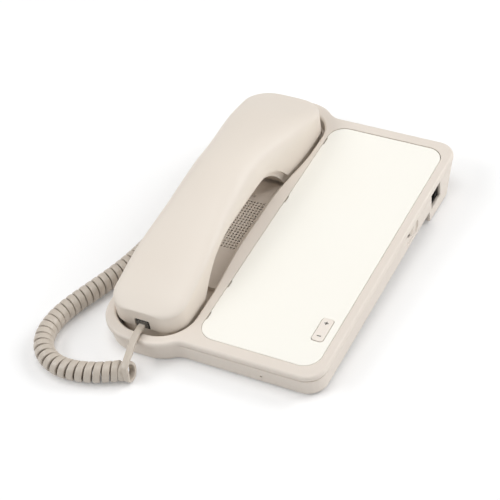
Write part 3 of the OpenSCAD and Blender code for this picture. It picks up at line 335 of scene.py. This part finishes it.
cordSizes = {
    "width": 4.55, "thick": 2.2, "outer": 13.0, "curls": 46, "ringsPerCurl": 24, "sides": 20,
    "coilHeight": 6.6, "run": 3.4, "squareness": 0.25, "slit": 0.14, "endTurn": 0.25,
    "flatAcross": 0.4, "flatUp": 0.55, "plugReach": 3, "plugGap": 0.02, "baseReach": (2.6, 0.3),
    "coil": [
        (-32.3, -135), (-37.7, -134.7), (-43, -135.5), (-49.2, -138.7), (-57.7, -142.8),
        (-67.9, -145.8), (-78, -146.7), (-87.1, -144.9), (-94.9, -140.6), (-100.3, -134.7),
        (-103.6, -128), (-105.1, -121.1), (-105.3, -113.6), (-104.3, -105.4), (-101.7, -95.6),
        (-98.1, -85.1), (-94, -73.5), (-89.9, -61), (-86.6, -48), (-84.2, -34), (-83, -18),
        (-82.8, 0), (-82.6, 18), (-82.6, 34), (-82.6, 38),
    ],
    "toHandset": [
        (-38.9, -138.9, 12.7), (-39.1, -137, 14.3), (-39.5, -134, 15.5), (-40.3, -130, 16.2),
        (-41.2, -126.2, 16.9), (-41.9, -122.4, 17.8), (-42.4, -118.6, 18.9), (-42.7, -115, 19.5),
        (-42.9, -112, 19.2),
    ],
    "toBase": [
        (-77.2, 36, 1.6), (-76.8, 40, 2), (-77, 45, 2.6), (-77.7, 50, 3.3), (-78.8, 55, 4.2),
        (-80, 60, 5.1), (-80.9, 65, 6), (-81, 69.5, 6.9), (-80.4, 73, 7.6),
    ],
    "handsetPlug": (-74.2, -106.6, 0.9), "basePlug": (-107.4, 75.0, -17.0),
}


def curveAt(path, t):
    i = min(int(t), len(path) - 4)
    u = t - i
    a, b, c, d = path[i:i + 4]
    return (2 * b + (c - a) * u + (2 * a - 5 * b + 4 * c - d) * u ** 2
            + (3 * b - a - 3 * c + d) * u ** 3) / 2


def smoothPath(points, n):
    path = [points[0] * 2 - points[1]] + points + [points[-1] * 2 - points[-2]]
    return [curveAt(path, i / n) for i in range((len(points) - 1) * n + 1)]


def coilFrames(c):
    # centre, width direction and outward direction of every ring of the coil
    route = [Vector(p) for p in c["coil"]]
    fine = 12
    spans = (len(route) - 3) * fine
    places = [curveAt(route, i / fine) for i in range(spans + 1)]
    lengths = [0]
    for a, b in zip(places, places[1:]):
        lengths.append(lengths[-1] + (b - a).length)

    def middle(s):
        i = 0
        while i < spans - 1 and lengths[i + 1] < s:
            i += 1
        t = (s - lengths[i]) / (lengths[i + 1] - lengths[i])
        return curveAt(route, (i + t) / fine)

    total = lengths[-1]
    turns = c["curls"] + c["endTurn"]
    radius = (c["outer"] - c["thick"]) / 2

    def pitches(t):
        # whole curls come at an even pitch, and the first ones stand squarer to the coil
        return t - c["squareness"] * (1 - math.cos(2 * math.pi * t)) / 2 * math.exp(-t)

    def ring(s, angle, run):
        step = 0.5
        h = middle(min(total, s + step)) - middle(max(0, s - step))
        h.normalize()
        m = middle(s)
        side = Vector((h[1], -h[0], 0))
        up = Vector((0, 0, 1))
        out = math.cos(angle) * up - math.sin(angle) * side
        ahead = -math.sin(angle) * up - math.cos(angle) * side
        centre = Vector((m[0], m[1], c["coilHeight"])) + radius * out + run * ahead
        return centre, Vector((h[0], h[1], 0)), out

    start = math.pi / 2
    count = round(turns * c["ringsPerCurl"])
    rings = [ring(0, start, -c["run"])]
    for i in range(count + 1):
        t = i / c["ringsPerCurl"]
        rings.append(ring(total * pitches(t) / pitches(turns), start + 2 * math.pi * t, 0))
    rings.append(ring(total, start + 2 * math.pi * turns, c["run"]))
    return rings


def straightFrames(points, wide=None):
    path = smoothPath(points, 4)
    rings = []
    for i, p in enumerate(path):
        ahead = (path[min(i + 1, len(path) - 1)] - path[max(i - 1, 0)]).normalized()
        across = (wide - wide.dot(ahead) * ahead) if wide else Vector((0, 0, 1)).cross(ahead)
        across.normalize()
        rings.append((p, across, across.cross(ahead)))
    return rings


def bandWidths(c, rings, first, last):
    # the full width, less where neighbouring curls press against each other
    n, widths = c["ringsPerCurl"], []
    for i in range(len(rings)):
        width = c["width"]
        for k in (i - n, i + n):
            if first <= i <= last and first <= k <= last:
                width = min(width, (rings[k][0] - rings[i][0]).length - c["slit"])
        widths.append(width)
    reach = 3
    near = [widths[max(0, i - reach):i + reach + 1] for i in range(len(rings))]
    return [sum(group) / len(group) for group in near]


def makeCord(c):
    coil = coilFrames(c)
    plugA = onTable(*c["handsetPlug"]) * 1000
    plugB = onTable(*c["basePlug"]) * 1000
    back = Vector((0, math.cos(stand["tilt"]), math.sin(stand["tilt"])))
    first = ([coil[0][0]] + [Vector(p) for p in c["toHandset"]]
             + [plugA - c["plugReach"] * back, plugA - c["plugGap"] * back])
    last = ([coil[-1][0]] + [Vector(p) for p in c["toBase"]]
            + [plugB - Vector((*c["baseReach"], 0)), plugB - Vector((c["plugGap"], 0, 0))])
    tail = straightFrames(first[::-1], Vector((1, 0, 0)))[:-1]
    lead = straightFrames(last)[1:]
    rings = tail + coil + lead
    # one sense of across and up all along
    for i in range(1, len(rings)):
        p, across, up = rings[i]
        if across.dot(rings[i - 1][1]) < 0:
            across = -across
        if up.dot(rings[i - 1][2]) < 0:
            up = -up
        rings[i] = (p, across, up)
    widths = bandWidths(c, rings, len(tail), len(tail) + len(coil) - 1)
    shape = newShape()
    loops = []
    for (p, across, up), width in zip(rings, widths):
        loop = []
        for k in range(c["sides"]):
            a = 2 * math.pi * k / c["sides"]
            x = math.copysign(abs(math.cos(a)) ** c["flatAcross"], math.cos(a)) * width / 2
            y = math.copysign(abs(math.sin(a)) ** c["flatUp"], math.sin(a)) * c["thick"] / 2
            q = p + x * across + y * up
            loop.append(len(shape["points"]))
            shape["points"].append((q[0], q[1], q[2]))
        loops.append(loop)
    for low, high in zip(loops, loops[1:]):
        bridge(shape, low, high)
    shape["faces"] += [tuple(loops[0]), tuple(loops[-1][::-1])]
    piece = makePiece("curlyCord", shape, "pvcCord", metres, 60)
    path = [r[0] / 1000 for r in rings]
    length = sum((b - a).length for a, b in zip(path, path[1:]))
    print("cord:", round(length, 3), "m")
    return piece, path, length


cord, cordPath, cordLength = makeCord(cordSizes)
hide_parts("curly_cord", "handset_cord_end", "base_cord_end")
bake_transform(cord)


base = {
    "right": 46.5, "back": 109.2, "front": -110.0, "corner": 13, "waist": 12,
    "cradleX": -73.3, "cradleBack": 34.0, "cradleFront": 31.8, "cradleMid": 28.1,
    "cradleLength": 117.2, "cradleCorner": 26,
    "openMid": 23.4, "openEnds": (29.3, 27.1), "openBack": 109.8, "openFront": 111.2,
    "openRadii": (21, 23), "channel": 8.5, "well": 11.5, "wellStep": 2.4, "wallSlope": 0.8,
    "rearWell": 44, "frontWell": -56, "wallHeight": 4.2, "seam": 0.9, "edge": 1.9, "innerEdge": 2.0,
    "plateW": 80, "plateL": 202.4, "plateR": 11, "plateGap": 0.25, "plateT": 1, "plateShort": 0.5,
    "tabs": (84.6, 25, -56, -84.5), "tabHalf": 3.3, "tabIn": 1.65, "tabOut": 0.1, "tabDepth": 8,
    "notchHalf": 3.1, "notchIn": 0.75, "skirt": 2.8, "skirtTop": 2.4, "tongue": 1.9,
    "tongueDrop": 0.6, "rimOut": 1.7, "floorRound": 0.9, "recess": 2.6, "trench": 0.7,
    "pastEnd": 1.5, "edgeBreak": ((0.2, 0), (0.06, 0.06), (0, 0.2)),
    "wellBreak": ((0.5, 0), (0.15, 0.15), (0, 0.5)),
}
steps = 14
sideSteps = 40
# The long sides widen from the middle towards both ends
flare = {"start": 20, "length": 55}


def podHalf(v, mid, ends):
    end = ends[1] if v < 0 else ends[0]
    return mid + (end - mid) * ease((abs(v) - flare["start"]) / flare["length"])


def pod(mid, ends, front, rear, radii, middleX, n=steps):
    b, f = radii
    xb, xf, vb, vf = ends[0] - b, ends[1] - f, rear - b, f - front
    left = [vb + (vf - vb) * i / sideSteps for i in range(1, sideSteps)]
    points = (arcPoints(xb, vb, b, 0, 90, n) + arcPoints(-xb, vb, b, 90, 180, n)
              + [(-podHalf(v, mid, ends), v) for v in left]
              + arcPoints(-xf, vf, f, 180, 270, n) + arcPoints(xf, vf, f, 270, 360, n)
              + [(podHalf(v, mid, ends), v) for v in reversed(left)])
    return [(x + middleX, y) for x, y in points]


def opening(g):
    o = base
    return pod(o["openMid"] + g, (o["openEnds"][0] + g, o["openEnds"][1] + g), o["openFront"] + g,
               o["openBack"] + g, (o["openRadii"][0] + g, o["openRadii"][1] + g), o["cradleX"])


def baseOutline(d):
    o = base
    right, back, front = o["right"] - d, o["back"] - d, o["front"] + d
    r, rc, fillet = o["corner"] - d, o["cradleCorner"] - d, o["waist"] + d
    halfB, halfF = o["cradleBack"] - o["cradleCorner"], o["cradleFront"] - o["cradleCorner"]
    cx, yc = o["cradleX"], o["cradleLength"] + o["pastEnd"] - o["cradleCorner"]
    reach = rc + fillet
    ub, uf = back + fillet - yc, -front + fillet - yc
    xb = cx + halfB + math.sqrt(reach ** 2 - ub ** 2)
    xf = cx + halfF + math.sqrt(reach ** 2 - uf ** 2)
    ab = math.degrees(math.atan2(ub, xb - cx - halfB))
    af = math.degrees(math.atan2(uf, xf - cx - halfF))
    n = steps
    side = [yc - 2 * yc * i / sideSteps for i in range(1, sideSteps)]
    return (arcPoints(right - r, back - r, r, 0, 90, n)
            + arcPoints(xb, back + fillet, fillet, 270, 180 + ab, n)
            + arcPoints(cx + halfB, yc, rc, ab, 90, n)
            + arcPoints(cx - halfB, yc, rc, 90, 180, n)
            + [(cx + d - podHalf(v, o["cradleMid"], (o["cradleBack"], o["cradleFront"])), v)
               for v in side]
            + arcPoints(cx - halfF, -yc, rc, 180, 270, n)
            + arcPoints(cx + halfF, -yc, rc, 270, 360 - af, n)
            + arcPoints(xf, front - fillet, fillet, 180 - af, 90, n)
            + arcPoints(right - r, front + r, r, -90, 0, n))


def wellLoop(g, cut, side):
    # the part of the opening's outline beyond a cross line
    loop = opening(g)
    inside = [(y - cut) * side > 0 for x, y in loop]
    n = len(loop)
    first = next(i for i in range(n) if inside[i] and not inside[i - 1])
    kept = [loop[(first + i) % n] for i in range(n) if inside[(first + i) % n]]
    half = podHalf(cut, base["openMid"] + g, (base["openEnds"][0] + g, base["openEnds"][1] + g))
    ends = [(base["cradleX"] - half, cut), (base["cradleX"] + half, cut)]
    return kept + (ends if side > 0 else ends[::-1])


grille = {"columns": 16, "rows": 19, "pitchX": 2.25, "pitchY": 2.4, "hole": 1.45, "y": 1.5,
          "depth": 2.6, "markX": 7, "markY": 28.6, "markRings": (1.3, 0.6), "markDepth": 0.6}
rocker = {"x": 31.3, "y": -71.0, "w": 7.5, "l": 18.7, "gap": 0.35, "r": 2.2, "top": 0.5,
          "dip": 0.22, "holeDepth": 4.5, "skirt": 1.75, "chamfer": 0.25, "easing": 0.3,
          "topRound": 0.45, "pinReach": 4, "pinW": 1.6, "pinLow": -3.7, "pinHigh": -2.1, "legY": 6,
          "legW": 2, "legLow": -4, "legHigh": -1.9, "markY": 5.4, "markL": 2.7, "markW": 0.72}
hook = {"y": 72, "w": 6.6, "l": 9.6, "depth": 1.8}


def rockerHole(g):
    return roundRect(rocker["x"], rocker["y"], rocker["w"] + 2 * (rocker["gap"] + g),
                     rocker["l"] + 2 * (rocker["gap"] + g), rocker["r"] + g)


def tabSlot(y):
    half, left = base["tabHalf"], -base["plateW"] / 2
    inner, outer = left + base["tabIn"], left - base["tabOut"]
    return [(inner, y + half), (outer, y + half), (outer, y - half), (inner, y - half)]


def makeUpperHousing():
    o, shape = base, newShape()
    edge = edgeRound(o["edge"])
    low, foot = -o["wallHeight"] + o["seam"], -o["wallHeight"] - o["tongueDrop"]
    walls = ([(baseOutline(o["skirt"]), -o["skirtTop"]), (baseOutline(o["skirt"]), foot),
              (baseOutline(o["tongue"]), foot), (baseOutline(o["tongue"]), low),
              (baseOutline(0.35), low), (baseOutline(0.1), low + 0.1), (baseOutline(0), low + 0.35)]
             + [(baseOutline(d), -z) for d, z in edge])
    outer = stack(shape, walls)[1]
    lip = edgeRound(o["innerEdge"])
    tub = ([(opening(o["rimOut"] - (o["innerEdge"] - a)), -b) for a, b in lip[::-1]]
           + [(opening(-o["wallSlope"] - z), -o["channel"] + g)
              for g, z in edgeRound(o["floorRound"])[::-1]])
    mouth, floor = stack(shape, tub)
    plate = lambda g: roundRect(0, 0, o["plateW"] + 2 * g, o["plateL"] + 2 * g, o["plateR"] + g, 12)
    gap = o["plateGap"]
    # behind the plate runs a narrow trench
    bed = roundRect(0, -o["trench"], o["plateW"] + 2 * gap - 0.04,
                    o["plateL"] + 2 * gap - 2 * o["trench"], o["plateR"] + gap - 0.02, 12)
    recess = [(plate(gap + d), -z) for d, z in o["edgeBreak"]]
    recess += [(plate(gap), -o["recess"]), (bed, -o["recess"]), (bed, -o["plateT"])]
    rim, sill = stack(shape, recess)
    fillFlat(shape, [outer, mouth, rim])
    rockerTop, _ = stack(shape, [(rockerHole(0), -z) for z in (o["plateT"], rocker["holeDepth"])])
    slots = [stack(shape, [(tabSlot(y), -z) for z in (o["plateT"], o["tabDepth"])])[0]
             for y in o["tabs"]]
    fillFlat(shape, [sill, rockerTop] + slots)
    # the channel's floor with its wells, grille and ring mark
    holes = []
    for cut, side in ((o["rearWell"], 1), (o["frontWell"], -1)):
        rings = [(wellLoop(d - o["wellStep"], cut - d * side, side), -o["channel"] - z)
                 for d, z in o["wellBreak"]]
        rings.append((wellLoop(-o["wellStep"], cut, side), -o["well"]))
        top, low = stack(shape, rings)
        holes.append(top)
        if side > 0:
            slot = roundRect(o["cradleX"], hook["y"], hook["w"], hook["l"], 0.4, 3)
            edgeLoop, _ = stack(shape, [(slot, -o["well"]), (slot, -o["well"] - hook["depth"])])
            fillFlat(shape, [low, edgeLoop])
        else:
            fillFlat(shape, [low])
    for i in range(grille["columns"]):
        for j in range(grille["rows"]):
            x = o["cradleX"] + (i - (grille["columns"] - 1) / 2) * grille["pitchX"]
            y = grille["y"] + (j - (grille["rows"] - 1) / 2) * grille["pitchY"]
            circle = arcPoints(x, y, grille["hole"] / 2, 0, 330, 11)
            holes.append(stack(shape, [(circle, -o["channel"]),
                                       (circle, -o["channel"] - grille["depth"])])[0])
    markX, markY = o["cradleX"] + grille["markX"], grille["markY"]
    rings = []
    for r in grille["markRings"]:
        circle = arcPoints(markX, markY, r, 0, 345, 23)
        rings.append(stack(shape, [(circle, -o["channel"] - z) for z in (0, grille["markDepth"])]))
    (ringOut, ringOutLow), (ringIn, ringInLow) = rings
    fillFlat(shape, [ringOutLow, ringInLow])
    fillFlat(shape, [ringIn])
    holes.append(ringOut)
    fillFlat(shape, [floor] + holes)
    return makePiece("upperHousing", shape, "absHousing")


upper = makeUpperHousing()
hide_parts("upper_housing")
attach(upper, "base")
print("upper housing made")


def plateOutline(d):
    o = base
    w, l, r = o["plateW"] / 2 - d, o["plateL"] / 2 - d, o["plateR"] - d
    notches = []
    half, inner = o["notchHalf"] + d, -w + o["notchIn"]
    for y in o["tabs"]:
        notches += [(-w, y + half), (inner, y + half), (inner, y - half), (-w, y - half)]
    rear = l - r - o["plateShort"]
    return (arcPoints(w - r, rear, r, 0, 90, 12) + arcPoints(r - w, rear, r, 90, 180, 12)
            + notches + arcPoints(r - w, r - l, r, 180, 270, 12)
            + arcPoints(w - r, r - l, r, 270, 360, 12))


def makeFaceplate():
    shape, bottom = newShape(), 0.02 - base["plateT"]
    edge = base["edgeBreak"]
    low, top = stack(shape, [(plateOutline(0), bottom)]
                     + [(plateOutline(d), -z) for d, z in reversed(edge)])
    holeTop, holeLow = stack(shape, [(rockerHole(d), -z) for d, z in edge]
                             + [(rockerHole(0), bottom)])
    fillFlat(shape, [top, holeTop])
    fillFlat(shape, [low, holeLow])
    return makePiece("faceplate", shape, "absPlate")


faceplate = makeFaceplate()
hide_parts("faceplate")
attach(faceplate, "base")
print("faceplate made")


softEdges = {"hook_plunger": 0.4, "lower_housing": 0.5}


def soften(name, width):
    # rounds the edges of a solid that stays as it is
    piece = nodes[name]
    weld = piece.modifiers.new("weld", "WELD")
    weld.merge_threshold = weldDistance
    flat = piece.modifiers.new("flat faces", "DECIMATE")
    flat.decimate_type = "DISSOLVE"
    flat.angle_limit = math.radians(1.0)
    bevel = piece.modifiers.new("round edges", "BEVEL")
    bevel.width = width / 1000
    bevel.segments = 2
    bevel.limit_method = "ANGLE"
    bevel.angle_limit = math.radians(35)
    bevel.miter_outer = "MITER_ARC"
    bevel.use_clamp_overlap = False
    weigh = piece.modifiers.new("flat faces first", "WEIGHTED_NORMAL")
    weigh.keep_sharp = True
    for polygon in piece.data.polygons:
        polygon.use_smooth = True


for name, width in softEdges.items():
    soften(name, width)


def dipped(y, z):
    return z - rocker["dip"] * (1 - ((y - rocker["y"]) / rocker["l"] * 2) ** 2)


def makeRocker():
    # a key that dips a little between its two ends, on a pin with two legs
    r, shape = rocker, newShape()
    outline = lambda g: roundRect(r["x"], r["y"], r["w"] - 2 * g, r["l"] - 2 * g,
                                  r["r"] - r["easing"] - g, 8, 12)
    rings = [(outline(r["chamfer"]), -r["skirt"] - r["chamfer"]), (outline(0), -r["skirt"])]
    rings += [(outline(g), r["top"] - z) for g, z in edgeRound(r["topRound"], 4)]
    low, top = stack(shape, rings)
    fillFlat(shape, [low])
    # the top is strips across the key, so that it can follow the dip
    n = len(top)
    for i in range(9, 8 + n // 2):
        shape["faces"].append((top[i], top[i + 1], top[(16 - i) % n], top[(17 - i) % n]))
    shape["points"] = [(x, y, dipped(y, z) if z > 0 else z) for x, y, z in shape["points"]]
    pin = (0, r["w"] + r["pinReach"], r["pinW"], r["pinLow"], r["pinHigh"])
    legs = [(side * r["legY"], r["legW"], r["legW"], r["legLow"], r["legHigh"]) for side in (-1, 1)]
    for y, w, l, low, high in [pin] + legs:
        ends = stack(shape, [(roundRect(r["x"], r["y"] + y, w, l, 0.75), z) for z in (low, high)])
        for end in ends:
            fillFlat(shape, [end])
    return makePiece("rockerKey", shape, "absKey", sharp=50)


def makeRockerMarks():
    r, shape = rocker, newShape()
    plus, minus, long, thin = r["y"] + r["markY"], r["y"] - r["markY"], r["markL"], r["markW"]
    for k, (y, w, l) in enumerate(((plus, long, thin), (plus, thin, long), (minus, long, thin))):
        z = dipped(y, r["top"]) + 0.02 + 0.002 * k
        low, top = stack(shape, [(roundRect(r["x"], y, w, l, 0.15, 3), z + h) for h in (-0.1, 0.015)])
        fillFlat(shape, [top])
    return makePiece("rockerMarks", shape, "padInk")


key = makeRocker()
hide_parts("volume_rocker")
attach(key, "rocker")
marks = makeRockerMarks()
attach(marks, "rocker")
print("rocker made")


knob = {"x": 44.7, "y": 31, "z": -7.6, "l": 5.4, "h": 6, "r": 2.1, "out": 0.75, "rib": 0.35,
        "ribs": (-1.3, 0, 1.3), "ribW": 0.7, "ribH": 4.2, "ribR": 0.34, "stemBack": 3.2, "stemL": 3,
        "stemH": 2.8}


def onWall(x, y, z):
    # x runs along the wall, y up it and z out of it
    return onTable(knob["x"] + z, knob["y"] + x, knob["z"] + y)


def makeRingerButton():
    # a small ribbed button on a stem
    k, shape = knob, newShape()
    outline = lambda g: roundRect(0, 0, k["l"] - 2 * g, k["h"] - 2 * g, k["r"] - g)
    low, top = stack(shape, [(outline(0), 0)] + [(outline(g), k["out"] - z)
                                                 for g, z in edgeRound(0.3, 4)])
    fillFlat(shape, [low])
    fillFlat(shape, [top])
    for x in k["ribs"]:
        rib = lambda g: roundRect(x, 0, k["ribW"] - 2 * g, k["ribH"] - 2 * g, k["ribR"] - g, 4)
        rings = [(rib(0), k["out"] - 0.2)]
        rings += [(rib(g), k["out"] + k["rib"] - z) for g, z in edgeRound(0.2, 3)]
        for end in stack(shape, rings):
            fillFlat(shape, [end])
    for end in stack(shape, [(roundRect(0, 0, k["stemL"], k["stemH"], 0.3, 4), z)
                             for z in (-k["stemBack"], 0.1)]):
        fillFlat(shape, [end])
    return makePiece("ringerButton", shape, "absHousing", onWall)


button = makeRingerButton()
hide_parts("ringer_knob")
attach(button, "ringer_slider")
print("ringer button made")


handset = {
    "x": -74.2, "half": 106, "ends": (27.4, 25.4), "mid": 22.6, "radii": (16.7, 15),
    "crownTop": 36.6, "crownFall": 16.8, "crownAt": 9, "crownEnd": 12.5, "crownRound": (31, 14),
    "creaseTop": 21.3, "creaseEnds": (11, 7), "tuck": 0.4, "archTop": 19, "archAt": -8,
    "archBack": 55, "archFront": 63, "archPowers": (4.6, 4.4), "lipDrop": 1.5, "wall": 2.2,
    "notchHalf": 5.2, "notchTop": 5.1, "creaseFade": ((56, 2.2), (80, 3)),
    "crownFade": ((80, 1.45), (91, 1.32)), "crownLift": 2.2, "bluntness": (2.45, 0.015, 5),
}


def archShare(v):
    # 0 at the top of the arch under the handle, and 1 in the cups at its ends
    h = handset
    if v > h["archAt"]:
        return min(1, (v - h["archAt"]) / h["archBack"]) ** h["archPowers"][0]
    return min(1, (h["archAt"] - v) / h["archFront"]) ** h["archPowers"][1]


def lowEdge(v):
    h = handset
    return h["archTop"] - (h["archTop"] + h["lipDrop"]) * archShare(v)


def creaseHeight(v):
    h = handset
    k = 0 if v > h["archAt"] else 1
    end, (length, power) = h["creaseEnds"][k], h["creaseFade"][k]
    far = (abs(v - h["archAt"]) / length) ** power
    return end + (h["creaseTop"] - end) * math.exp(-far)


def crownHeight(v):
    h = handset
    distance, power = h["crownFade"][0 if v > h["crownAt"] else 1]
    fall = (abs(v - h["crownAt"]) / distance) ** power
    end = h["crownEnd"] if v > 0 else creaseHeight(-h["half"]) + h["crownLift"]
    length = h["crownRound"][0] if v > 0 else h["crownRound"][1]
    level = max(end, h["crownTop"] - h["crownFall"] * fall)
    e = min(1, max(0, (abs(v) - h["half"] + length) / length))
    return end + (level - end) * math.sqrt(1 - e * e)


def shellSection(v, share, t):
    h = handset
    r = h["radii"][1] if v < 0 else h["radii"][0]
    a = podHalf(v, h["mid"], h["ends"]) - r + (r - t) * share
    top = crownHeight(v) - t
    side = min(creaseHeight(v), top - 1)
    low = lowEdge(v)
    least, rise, start = h["bluntness"]
    power = least + rise * max(0, v - start)
    tuck = h["tuck"] * (1 - ease((abs(v) - flare["start"]) / flare["length"]))
    c = h["half"] - r
    y = v if abs(v) <= c else math.copysign(c + (abs(v) - c) * (r - t) / r, v)
    wallSteps, topSteps = 8, 20
    half = []
    for i in range(wallSteps, 0, -1):
        u = i / wallSteps
        half.append((a - tuck * u * u, side - (side - low) * u))
    for i in range(topSteps, 0, -1):
        q = math.radians(90 * i / topSteps)
        half.append((a * math.sin(q) ** (2 / power),
                     side + (top - side) * max(0, math.cos(q)) ** (2 / power)))
    return ([(h["x"] - x, y, z) for x, z in half] + [(h["x"], y, top)]
            + [(h["x"] + x, y, z) for x, z in reversed(half)])


def makeHandsetShell():
    h, shape = handset, newShape()
    endSteps, bodySteps = 16, 110
    rb, rf = h["radii"]
    stations = [(-(h["half"] - rf + rf * math.cos(math.radians(a))), math.sin(math.radians(a)))
                for a in [90 * i / endSteps for i in range(endSteps + 1)]]
    stations += [(rf - h["half"] + (2 * h["half"] - rb - rf) * i / bodySteps, 1)
                 for i in range(1, bodySteps)]
    stations += [(h["half"] - rb + rb * math.sin(math.radians(a)), math.cos(math.radians(a)))
                 for a in [90 * i / endSteps for i in range(endSteps + 1)]]
    sheets = []
    for t in (0, h["wall"]):
        sheet = []
        for v, share in stations:
            first = len(shape["points"])
            shape["points"] += shellSection(v, share, t)
            sheet.append(list(range(first, len(shape["points"]))))
        sheets.append(sheet)
        for low, high in zip(sheet, sheet[1:]):
            bridge(shape, low, high, closed=False)
        end, n = sheet[-1], len(sheet[-1])
        for j in range(n // 2):
            shape["faces"].append((end[j], end[j + 1], end[n - 2 - j], end[n - 1 - j]))
    outer, inner = sheets
    # the mouth end has a notch for the cord
    notches = []
    for end in (outer[0], inner[0]):
        y, low = shape["points"][end[0]][1:]
        outline = [(h["notchHalf"], low)]
        outline += arcPoints(h["notchHalf"] - 1, h["notchTop"] - 1, 1, 0, 90, 4)
        outline += [(-x, z) for x, z in reversed(outline)]
        first = len(shape["points"])
        shape["points"] += [(h["x"] + x, y, z) for x, z in outline]
        notches.append(list(range(first, first + len(outline))))
        loop = end + notches[-1]
        corners = [Vector((shape["points"][i][0], shape["points"][i][2], 0)) for i in loop]
        shape["faces"] += [tuple(loop[i] for i in t) for t in tessellate_polygon([corners])]
    bridge(shape, notches[0], notches[1], closed=False)
    shape["faces"].append((outer[0][-1], notches[0][0], notches[1][0], inner[0][-1]))
    shape["faces"].append((notches[0][-1], outer[0][0], inner[0][0], notches[1][-1]))
    for a, b in ((0, 0), (-1, -1)):
        bridge(shape, [s[a] for s in outer], [s[b] for s in inner], closed=False)
    shape["faces"].append((outer[-1][0], outer[-1][-1], inner[-1][-1], inner[-1][0]))
    return makePiece("handsetTopShell", shape, "absHandset", sharp=50)


shell = makeHandsetShell()
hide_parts("handset_top_shell")
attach(shell, "handset")
print("handset shell made")


underShell = {"arch": 16.6, "cup": -11.25, "postY": -65, "postR": 3.6, "postLow": -1.2}


def offTable(p):
    # the other way round from onTable
    c, s = math.cos(stand["tilt"]), math.sin(stand["tilt"])
    x, y, z = p[0] * 1000 - stand["x"], p[1] * 1000 - stand["y"], p[2] * 1000 - stand["z"]
    return x, y * c + z * s, z * c - y * s


def makeUnderShell():
    # the solid's own shape, with the front screw's post cut off so that it doesn't hang under the arch
    u, shape = underShell, newShape()
    source = nodes["handset_bottom_shell"].data
    for vertex in source.vertices:
        x, y, z = offTable(vertex.co)
        if math.hypot(x - handset["x"], y - u["postY"]) < u["postR"]:
            skin = u["arch"] - (u["arch"] - u["cup"]) * archShare(y)
            z = max(z, min(skin, u["postLow"]))
        shape["points"].append((x, y, z))
    shape["faces"] = [tuple(polygon.vertices) for polygon in source.polygons]
    return makePiece("handsetUnderShell", shape, "absHandset")


under = makeUnderShell()
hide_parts("handset_bottom_shell")
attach(under, "handset")
print("handset under shell made")


floorLook = {"paint": "#F2F2F2", "lift": 0.13, "evenFrom": 0.45, "evenTo": 1.1, "half": 6}


def makeFloor():
    material, tree = newMaterial("paintedBoard")
    # matt white paint: it keeps the shadow near the telephone and turns an even white further out
    path = addNode(tree, "ShaderNodeLightPath")
    seen = addNode(tree, "ShaderNodeMath", {}, {0: path.outputs["Is Camera Ray"],
                                                1: path.outputs["Is Glossy Ray"]}, operation="MAXIMUM")
    seen = addNode(tree, "ShaderNodeMath", {}, {0: seen.outputs[0],
                                                1: path.outputs["Is Transmission Ray"]}, operation="MAXIMUM")
    paint = addNode(tree, "ShaderNodeBsdfDiffuse", {"Color": linear(floorLook["paint"])})
    glow = addNode(tree, "ShaderNodeEmission", {"Color": (1, 1, 1, 1), "Strength": floorLook["lift"]})
    lit = addNode(tree, "ShaderNodeAddShader", {}, {0: paint.outputs[0], 1: glow.outputs[0]})
    white = addNode(tree, "ShaderNodeEmission", {"Color": (1, 1, 1, 1), "Strength": 1.0})
    place = addNode(tree, "ShaderNodeTexCoord").outputs["Object"]
    far = addNode(tree, "ShaderNodeVectorMath", {}, {0: place}, operation="LENGTH")
    even = addNode(tree, "ShaderNodeMapRange",
                   {"From Min": floorLook["evenFrom"], "From Max": floorLook["evenTo"]},
                   {"Value": far.outputs["Value"]}, interpolation_type="SMOOTHSTEP")
    board = addNode(tree, "ShaderNodeMixShader", {}, {0: even.outputs[0], 1: lit.outputs[0],
                                                      2: white.outputs[0]})
    mix = addNode(tree, "ShaderNodeMixShader", {}, {0: seen.outputs[0], 1: paint.outputs[0],
                                                    2: board.outputs[0]})
    addNode(tree, "ShaderNodeOutputMaterial", links={"Surface": mix.outputs[0]})
    mesh = bpy.data.meshes.new("floor")
    h = floorLook["half"]
    mesh.from_pydata([(-h, -h, 0), (h, -h, 0), (h, h, 0), (-h, h, 0)], [], [(0, 1, 2, 3)])
    mesh.materials.append(material)
    floor = bpy.data.objects.new("floor", mesh)
    bpy.context.scene.collection.objects.link(floor)


lamps = {
    # name: place, width, power, in metres and watts
    "softboxLeft": ((-1.6, 0.0, 1.2), 1.0, 6),
    "softboxBack": ((0.0, 1.6, 1.3), 1.0, 2),
    "softboxRightBack": ((1.1, 1.1, 1.3), 1.0, 16),
    "softboxLeftFront": ((-1.1, -1.1, 1.3), 1.0, 13.4),
    "softboxTop": ((-0.1, 0.0, 1.9), 1.0, 10.3),
    "stripRight": ((1.7, -0.2, 0.45), 1.0, 8.6),
}
worldLight = 0.165


def makeLight():
    for name, (place, width, power) in lamps.items():
        data = bpy.data.lights.new(name, "AREA")
        data.size = width
        data.energy = power
        lamp = bpy.data.objects.new(name, data)
        bpy.context.scene.collection.objects.link(lamp)
        lamp.location = place
        lamp.rotation_euler = (-Vector(place)).to_track_quat("-Z", "Y").to_euler()
    world = bpy.data.worlds.new("world")
    bpy.context.scene.world = world
    world.use_nodes = True
    tree = world.node_tree
    tree.nodes.clear()
    path = addNode(tree, "ShaderNodeLightPath")
    soft = addNode(tree, "ShaderNodeBackground", {"Color": (1, 1, 1, 1), "Strength": worldLight})
    white = addNode(tree, "ShaderNodeBackground", {"Color": (1, 1, 1, 1), "Strength": 1.0})
    mix = addNode(tree, "ShaderNodeMixShader", {}, {0: path.outputs["Is Camera Ray"],
                                                    1: soft.outputs[0], 2: white.outputs[0]})
    addNode(tree, "ShaderNodeOutputWorld", links={"Surface": mix.outputs[0]})


makeFloor()
makeLight()
bpy.context.scene.view_settings.view_transform = "Standard"
print("floor and light made")
